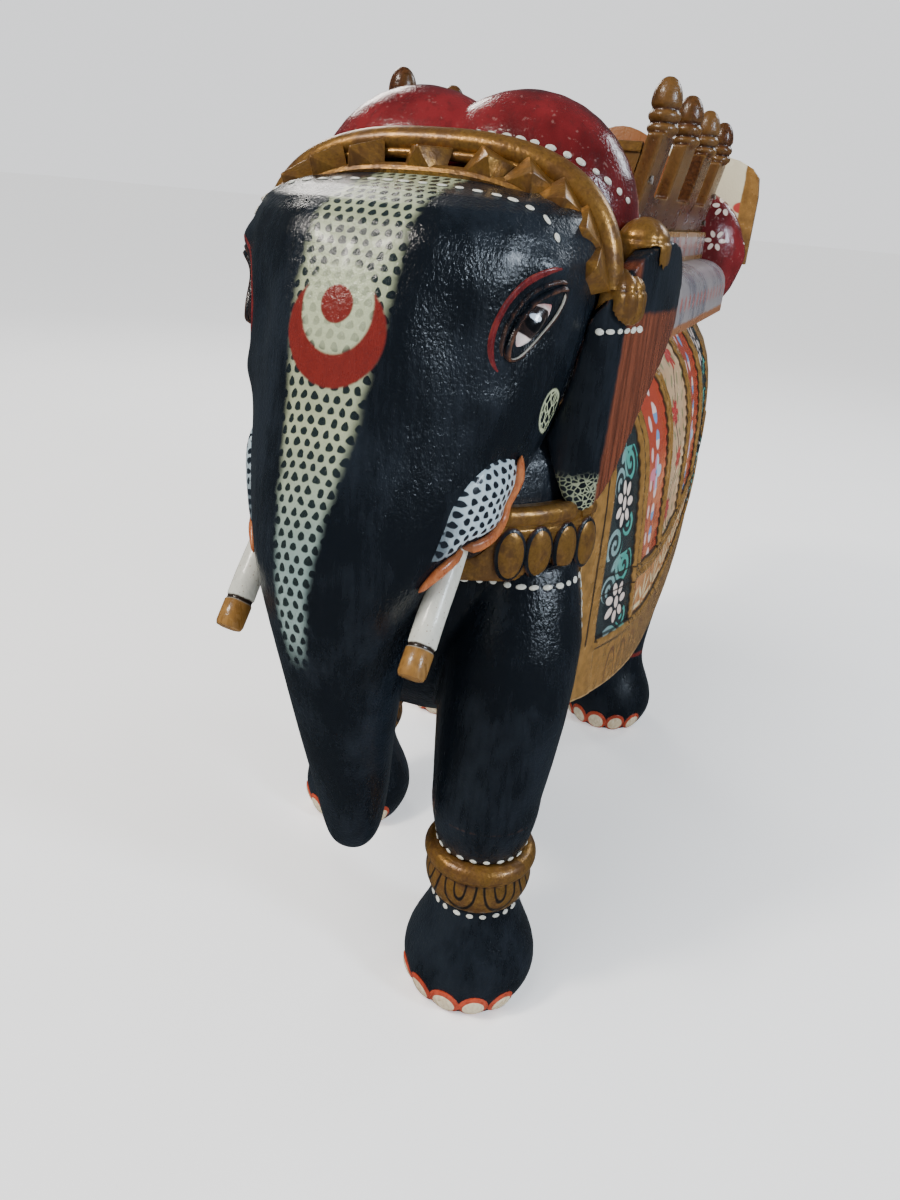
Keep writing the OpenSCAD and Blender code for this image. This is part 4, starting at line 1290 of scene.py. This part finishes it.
class ELEPHANT_OT_collar(Operator):
    """Lays the collar's roll and its tongue-shaped petals on the shoulders"""
    bl_idname = "elephant.collar"
    bl_label = "Collar"

    def execute(self, context):
        band = carve("collar_band", ["collar"], 1.2 * MM, 3)
        tree = surface(band, bpy.data.objects["torso_skin"])
        made = {"collar_roll": [], "collar_petals": [], "collar_outlines": []}
        for side in (1, -1):
            def row(z, lift):
                found = []
                for i in range(70):
                    a = math.radians(-74 + 62 * i / 69)
                    way = Vector((side * math.cos(a), math.sin(a), 0))
                    hit = lay(tree, (way.x * 220, -110 + way.y * 220, z), -way, lift)
                    if hit and -196 < hit[0].y < -137:
                        found.append(hit)
                return found

            for z, size in ((270.5, 4.6), (263.2, 2.0)):
                line = row(z, -1.2)
                made["collar_roll"].append(bar("collar_roll", [h[0] for h in line],
                                               [h[1] for h in line], size, size * 0.9, 14))
            line = row(253.0, 0.4)
            places, left = [], 4.0
            for (p, n), (q, _) in zip(line, line[1:]):
                left -= (q - p).length
                if left <= 0:
                    left += 15.0
                    places.append((p, n, q - p, (1, 1, 1)))
            for name, shape in (("collar_petals", (7.1, 12.0, 3.0)),
                                ("collar_outlines", (7.9, 12.9, 2.3))):
                bpy.ops.object.select_all(action="DESELECT")
                bpy.ops.mesh.primitive_uv_sphere_add(segments=24, ring_count=14, radius=1)
                petal = context.object
                petal.data.transform(Matrix.Diagonal((*(v * MM for v in shape), 1)))
                made[name].append(scatter(name, petal, places))
            line = row(237.2, 0.3)
            dashes("collar_dashes_" + ("left" if side > 0 else "right"), line, 31, 6.4)
        skin = surface(bpy.data.objects["torso_skin"])
        line = [lay(skin, (200, -139.5, 234 - 1.4 * i), (-1, 0, 0), 0.3) for i in range(50)]
        row = dashes("cloth_dashes_left", [h for h in line if h], 33, 5.4)
        other = mirror_copy(row, "cloth_dashes_right")
        finish_piece(other, FINISHES["white_dash"], rub=False)
        roll = join("collar_skin", [band] + made["collar_roll"])
        finish_piece(roll, FINISHES["gold_paint"], ["collar"])
        petals = join("collar_petals", made["collar_petals"])
        finish_piece(petals, FINISHES["petal_gold"])
        lines = join("collar_outlines", made["collar_outlines"])
        finish_piece(lines, FINISHES["black_lacquer"])
        return {"FINISHED"}


def band_relief(y, z):
    """Height of the carving on the side cloth, from 0 in a panel to 1 on a rib."""
    u = y + (z - 225) * slant(y)
    low = z - (hem_height(y) - HEM_Z)

    def rib(value, start, end):
        middle, half = (start + end) / 2, (end - start) / 2
        t = abs(value - middle) / half
        return math.sqrt(max(0, 1 - t * t)) if t < 1 else 0

    height = 0.0
    for start, end, kind, share in BANDS:
        if start <= u < end:
            if kind == "rib":
                middle = (start + end) / 2
                height = max(rib(u, start, middle), rib(u, middle, end)) * share
            elif kind == "border":
                height = 0.35 + 0.25 * rib(u, start, end)
    if u > -110:
        ridge = max(rib(low, RIDGE_Z - 4, RIDGE_Z + 3), rib(low, LEAF_Z - 5, LEAF_Z) if u > -66 else 0,
                    rib(low, LEAF_Z, LEAF_Z + 5) if u > -66 else 0)
        if low < LEAF_Z + 5 and (u > -66 or low < RIDGE_Z + 3):
            height = 0.3 * (low < RIDGE_Z)
        height = max(height, ridge)
    return height


class ELEPHANT_OT_cloths(Operator):
    """Lays the side cloths with their raised ribs and painted bands"""
    bl_idname = "elephant.cloths"
    bl_label = "Side cloths"

    def execute(self, context):
        step = 1.6
        for side, name in ((1, "left"), (-1, "right")):
            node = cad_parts["side_cloth_" + name]
            tree = surface(node)
            low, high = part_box("side_cloth_" + name)
            y0, y1 = low[1] / MM + 0.4, high[1] / MM - 0.4
            top = high[2] / MM - 0.4
            columns = int((y1 - y0) / step)
            rows = int((top - HEM_Z) / step)
            bpy.ops.object.select_all(action="DESELECT")
            bpy.ops.mesh.primitive_grid_add(x_subdivisions=columns, y_subdivisions=rows, size=2)
            sheet = context.object
            sheet.name = "side_cloth_" + name + "_skin"
            mesh = sheet.data
            gone = []
            for v in mesh.vertices:
                y = y0 + (v.co.x + 1) / 2 * (y1 - y0)
                bottom = hem_height(y) + 0.4
                z = bottom + (v.co.y + 1) / 2 * (top - bottom)
                hit = lay(tree, (side * 190, y, z), (-side, 0, 0))
                if hit is None or abs(hit[0].x) < 50:
                    gone.append(v.index)
                    v.co = Vector((0, y, z)) * MM
                    continue
                point = hit[0]
                depth = -sizes().rib / MM + sizes().rib / MM * band_relief(y, z)
                v.co = (point + Vector((side * depth, 0, 0))) * MM
            pick(sheet)
            for v in mesh.vertices:
                v.select = False
            for f in mesh.polygons:
                f.select = False
            for e in mesh.edges:
                e.select = False
            for i in gone:
                mesh.vertices[i].select = True
            if gone:
                bpy.ops.object.mode_set(mode="EDIT")
                bpy.ops.mesh.select_mode(type="VERT")
                bpy.ops.object.mode_set(mode="OBJECT")
                for i in gone:
                    mesh.vertices[i].select = True
                bpy.ops.object.mode_set(mode="EDIT")
                bpy.ops.mesh.delete(type="VERT")
                bpy.ops.object.mode_set(mode="OBJECT")
            middle = sheet.data.polygons[len(sheet.data.polygons) // 2]
            if middle.normal.x * side < 0:
                sheet.data.flip_normals()
            modify(sheet, "SOLIDIFY", thickness=3.6 * MM, offset=-1)
            finish_piece(sheet, FINISHES["cloth_paint"],
                         ["side_cloth_" + name], 50)
        cloth = surface(bpy.data.objects["torso_skin"])
        for side, name in ((1, "left"), (-1, "right")):
            y0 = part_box("side_cloth_" + name)[0][1] / MM
            line = [lay(cloth, (side * 190, y0 - 3.2, z), (-side, 0, 0), 0.3)
                    for z in range(152, 262, 2)]
            dashes("cloth_dashes_" + name, [h for h in line if h], 11, 8.4)
        return {"FINISHED"}


class ELEPHANT_OT_howdah(Operator):
    """Breaks the edges of the pad, the base and the howdah's boards and stains them"""
    bl_idname = "elephant.howdah"
    bl_label = "Howdah"

    def execute(self, context):
        pad = carve("saddle_pad_skin", ["saddle_pad"], 2.0 * MM, 4)
        finish_piece(pad, FINISHES["pad_paint"], ["saddle_pad"])
        for node, width, paint, slot in (
                ("howdah_base", 1.4, "base_paint", "pale_paint"),
                ("howdah_front", 0.9, "howdah_stain", "howdah_brown"),
                ("howdah_rear", 0.9, "crest_paint", "howdah_brown"),
                ("howdah_rail", 0.5, "gold_paint", "gold_paint")):
            board = soften(node + "_skin", node, width * MM)
            finish_piece(board, FINISHES[paint], [node], 30)
        for side in ("left", "right"):
            board = carve("howdah_side_" + side + "_skin", ["howdah_side_" + side], 0.8 * MM, 2)
            finish_piece(board, FINISHES["howdah_stain"],
                         ["howdah_side_" + side], 50)
        for node, paint in (("howdah_nails", "nail_steel"), ("panel_nails", "nail_steel"),
                            ("neck_dowel", "bare_wood"), ("leg_dowels", "bare_wood"),
                            ("ear_pegs", "bare_wood"), ("base_pegs", "bare_wood")):
            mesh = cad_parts[node].data
            mesh.materials.clear()
            mesh.materials.append(FINISHES[paint])
        return {"FINISHED"}


class ELEPHANT_OT_rump(Operator):
    """Carves the red bolster behind the howdah and the painted back panel"""
    bl_idname = "elephant.rump"
    bl_label = "Bolster and back panel"

    def execute(self, context):
        bolster = carve("rump_bolster_skin", ["rump_bolster"], 1.8 * MM, 4)
        finish_piece(bolster, FINISHES["bolster_lacquer"], ["rump_bolster"])
        panel = soften("back_panel_skin", "back_panel", 2.2 * MM)
        finish_piece(panel, FINISHES["panel_paint"], ["back_panel"], 35)
        return {"FINISHED"}


class ELEPHANT_OT_feet(Operator):
    """Turns the anklets and feet and sets the toenails and dashes"""
    bl_idname = "elephant.feet"
    bl_label = "Feet"

    def execute(self, context):
        for where in ("front_left", "front_right"):
            foot = carve("foot_" + where + "_skin", ["foot_" + where], 1.3 * MM, 3)
            finish_piece(foot, FINISHES["black_lacquer"], ["foot_" + where])
            ring = carve("anklet_" + where + "_skin", ["anklet_" + where], 1.0 * MM, 2)
            finish_piece(ring, FINISHES["anklet_gold"], ["anklet_" + where])
        for where, (x, y) in FEET.items():
            node = "foot_" if where.startswith("front") else "leg_"
            tree = surface(bpy.data.objects[node + where + "_skin"])
            nails, rims = [], []
            for k in range(5):
                a = math.radians(-90 + (k - 2) * 27)
                way = Vector((math.cos(a), math.sin(a), 0))
                hit = lay(tree, (x + way.x * 60, y + way.y * 60, 8.5), -way)
                if hit is None:
                    raise RuntimeError("no foot under a toenail of " + where)
                size = 1.0 - 0.06 * abs(k - 2)
                nails.append((hit[0] - hit[1] * 0.6, hit[1], (-way.y, way.x, 0), (size, size, 1)))
                rims.append((hit[0] - hit[1] * 1.0, hit[1], (-way.y, way.x, 0), (size, size, 1)))
            for name, places, shape, paint, slot in (
                    ("toenails_", nails, (14.2, 18.0, 2.4), "toenail_cream", "cream_paint"),
                    ("toenail_rims_", rims, (17.4, 21.4, 2.2), "toenail_red", "red_lacquer")):
                bpy.ops.object.select_all(action="DESELECT")
                bpy.ops.mesh.primitive_uv_sphere_add(segments=20, ring_count=12, radius=1)
                model = context.object
                model.data.transform(Matrix.Diagonal((shape[0] / 2 * MM, shape[1] / 2 * MM,
                                                      shape[2] * MM, 1)))
                made = scatter(name + where, model, places)
                pick(made)
                bpy.ops.object.mode_set(mode="EDIT")
                bpy.ops.mesh.select_all(action="SELECT")
                bpy.ops.mesh.bisect(plane_co=(0, 0, 0.3 * MM), plane_no=(0, 0, 1), use_fill=True,
                                    clear_inner=True)
                bpy.ops.object.mode_set(mode="OBJECT")
                finish_piece(made, FINISHES[paint], rub=False)
            if node == "foot_":
                body = surface(bpy.data.objects["leg_" + where + "_skin"],
                               bpy.data.objects["foot_" + where + "_skin"])
                for height, label in ((96.5, "upper"), (61.0, "lower")):
                    line = []
                    for k in range(61):
                        a = 2 * math.pi * k / 60
                        way = Vector((math.cos(a), math.sin(a), 0))
                        line.append(lay(body, (x + way.x * 60, y + way.y * 60, height), -way, 0.25))
                    dashes("anklet_dashes_" + label + "_" + where, [h for h in line if h], 21, 6.6)
        return {"FINISHED"}


class ELEPHANT_OT_stage(Operator):
    """Sets the pale floor, the soft lights and the camera"""
    bl_idname = "elephant.stage"
    bl_label = "Stage"

    def execute(self, context):
        bpy.ops.object.select_all(action="DESELECT")
        bpy.ops.mesh.primitive_plane_add(size=60)
        floor = context.object
        floor.name = "floor"
        paint = Paint("floor_paper", 0.0)
        cloud = paint.noise((90, 90, 90), 2.0)
        paper = paint.finish(
            paint.mix(cloud, (0.86, 0.86, 0.86), (0.90, 0.90, 0.90)), 0.75 + cloud * 0.1, cloud, 0.02)
        shader = next(n for n in paper.node_tree.nodes if n.type == "BSDF_PRINCIPLED")
        shader.inputs["Emission Color"].default_value = (1, 1, 1, 1)
        shader.inputs["Emission Strength"].default_value = 0.55
        floor.data.materials.append(paper)
        floor.visible_glossy = False
        yaw, pitch, roll = (math.radians(v) for v in (20.8, 23.9, 5.0))
        flat = math.cos(pitch)
        back = Vector((math.sin(yaw) * flat, -math.cos(yaw) * flat, math.sin(pitch)))
        right = Vector((math.cos(yaw), math.sin(yaw), 0))
        up = back.cross(right)
        turned = math.cos(roll) * right + math.sin(roll) * up
        raised = -math.sin(roll) * right + math.cos(roll) * up
        camera = bpy.data.cameras.new("camera")
        camera.lens = 27
        camera.sensor_width = 36
        camera.sensor_fit = "AUTO"
        camera.clip_start = 0.01
        seat = bpy.data.objects.new("camera", camera)
        seat.matrix_world = Matrix.Translation((0.174, -0.540, 0.396)) @ Matrix(
            (turned, raised, back)).transposed().to_4x4()
        bpy.context.scene.collection.objects.link(seat)
        bpy.context.scene.camera = seat

        def lamp(name, place, aim, size, power, colour):
            light = bpy.data.lights.new(name, "AREA")
            light.shape = "ELLIPSE"
            light.size, light.size_y = size
            light.energy = power
            light.color = colour
            made = bpy.data.objects.new(name, light)
            made.location = place
            made.rotation_euler = (Vector(aim) - Vector(place)).to_track_quat("-Z", "Y").to_euler()
            bpy.context.scene.collection.objects.link(made)

        lamp("key", (-0.9, -1.15, 1.7), (0, -0.1, 0.3), (0.30, 0.30), 26, (1.0, 0.93, 0.84))
        lamp("fill", (1.6, -0.5, 1.1), (0, -0.05, 0.28), (0.35, 0.5), 20, (0.74, 0.86, 1.0))
        lamp("rim", (0.9, 1.5, 1.4), (0, 0, 0.3), (0.6, 0.6), 9, (0.84, 0.92, 1.0))
        lamp("back", (-1.2, 1.3, 1.3), (0, 0, 0.3), (0.6, 0.6), 9, (1.0, 0.96, 0.9))
        sun = bpy.data.lights.new("daylight", "SUN")
        sun.energy = 1.9
        sun.angle = 0.6
        high = bpy.data.objects.new("daylight", sun)
        high.rotation_euler = (math.radians(24), math.radians(-18), 0)
        high.visible_glossy = False
        bpy.context.scene.collection.objects.link(high)
        world = bpy.data.worlds.new("room")
        world.use_nodes = True
        nodes, links = world.node_tree.nodes, world.node_tree.links
        room = nodes["Background"]
        room.inputs[0].default_value = (0.95, 0.97, 1.0, 1)
        room.inputs[1].default_value = 0.30
        wall = nodes.new("ShaderNodeBackground")
        wall.inputs[0].default_value = (0.97, 0.98, 1.0, 1)
        wall.inputs[1].default_value = 1.32
        seen = nodes.new("ShaderNodeLightPath")
        blend = nodes.new("ShaderNodeMixShader")
        links.new(seen.outputs["Is Camera Ray"], blend.inputs[0])
        dark = nodes.new("ShaderNodeBackground")
        dark.inputs[0].default_value = (0.8, 0.9, 1.0, 1)
        dark.inputs[1].default_value = 0.09
        mirrored = nodes.new("ShaderNodeMixShader")
        links.new(seen.outputs["Is Glossy Ray"], mirrored.inputs[0])
        links.new(room.outputs[0], mirrored.inputs[1])
        links.new(dark.outputs[0], mirrored.inputs[2])
        links.new(mirrored.outputs[0], blend.inputs[1])
        links.new(wall.outputs[0], blend.inputs[2])
        links.new(blend.outputs[0], nodes["World Output"].inputs[0])
        bpy.context.scene.world = world
        return {"FINISHED"}


class ELEPHANT_PT_bench(Panel):
    """Lists the pieces in the order they are made"""
    bl_idname = "ELEPHANT_PT_bench"
    bl_label = "Painted elephant"
    bl_space_type = "VIEW_3D"
    bl_region_type = "UI"
    bl_category = "Elephant"

    def draw(self, context):
        for group in (context.scene.elephant_sizes, context.scene.elephant_paints):
            box = self.layout.box()
            for key in group.__annotations__:
                box.prop(group, key)
        for operator in OPERATORS:
            self.layout.operator(operator.bl_idname)


OPERATORS = (ELEPHANT_OT_finishes, ELEPHANT_OT_body, ELEPHANT_OT_head, ELEPHANT_OT_face,
             ELEPHANT_OT_headdress, ELEPHANT_OT_ears, ELEPHANT_OT_tusks, ELEPHANT_OT_collar,
             ELEPHANT_OT_cloths, ELEPHANT_OT_howdah, ELEPHANT_OT_rump, ELEPHANT_OT_feet,
             ELEPHANT_OT_stage)
CLASSES = (ElephantPaints, ElephantSizes) + OPERATORS + (ELEPHANT_PT_bench,)


def register():
    for made in CLASSES:
        bpy.utils.register_class(made)
    bpy.types.Scene.elephant_paints = PointerProperty(type=ElephantPaints)
    bpy.types.Scene.elephant_sizes = PointerProperty(type=ElephantSizes)


def unregister():
    del bpy.types.Scene.elephant_sizes
    del bpy.types.Scene.elephant_paints
    for made in reversed(CLASSES):
        bpy.utils.unregister_class(made)


def main():
    register()
    bpy.ops.elephant.finishes()
    bpy.ops.elephant.body()
    bpy.ops.elephant.head()
    bpy.ops.elephant.face()
    bpy.ops.elephant.headdress()
    bpy.ops.elephant.ears()
    bpy.ops.elephant.tusks()
    bpy.ops.elephant.collar()
    bpy.ops.elephant.cloths()
    bpy.ops.elephant.howdah()
    bpy.ops.elephant.rump()
    bpy.ops.elephant.feet()
    bpy.ops.elephant.stage()


if __name__ == "__main__":
    main()
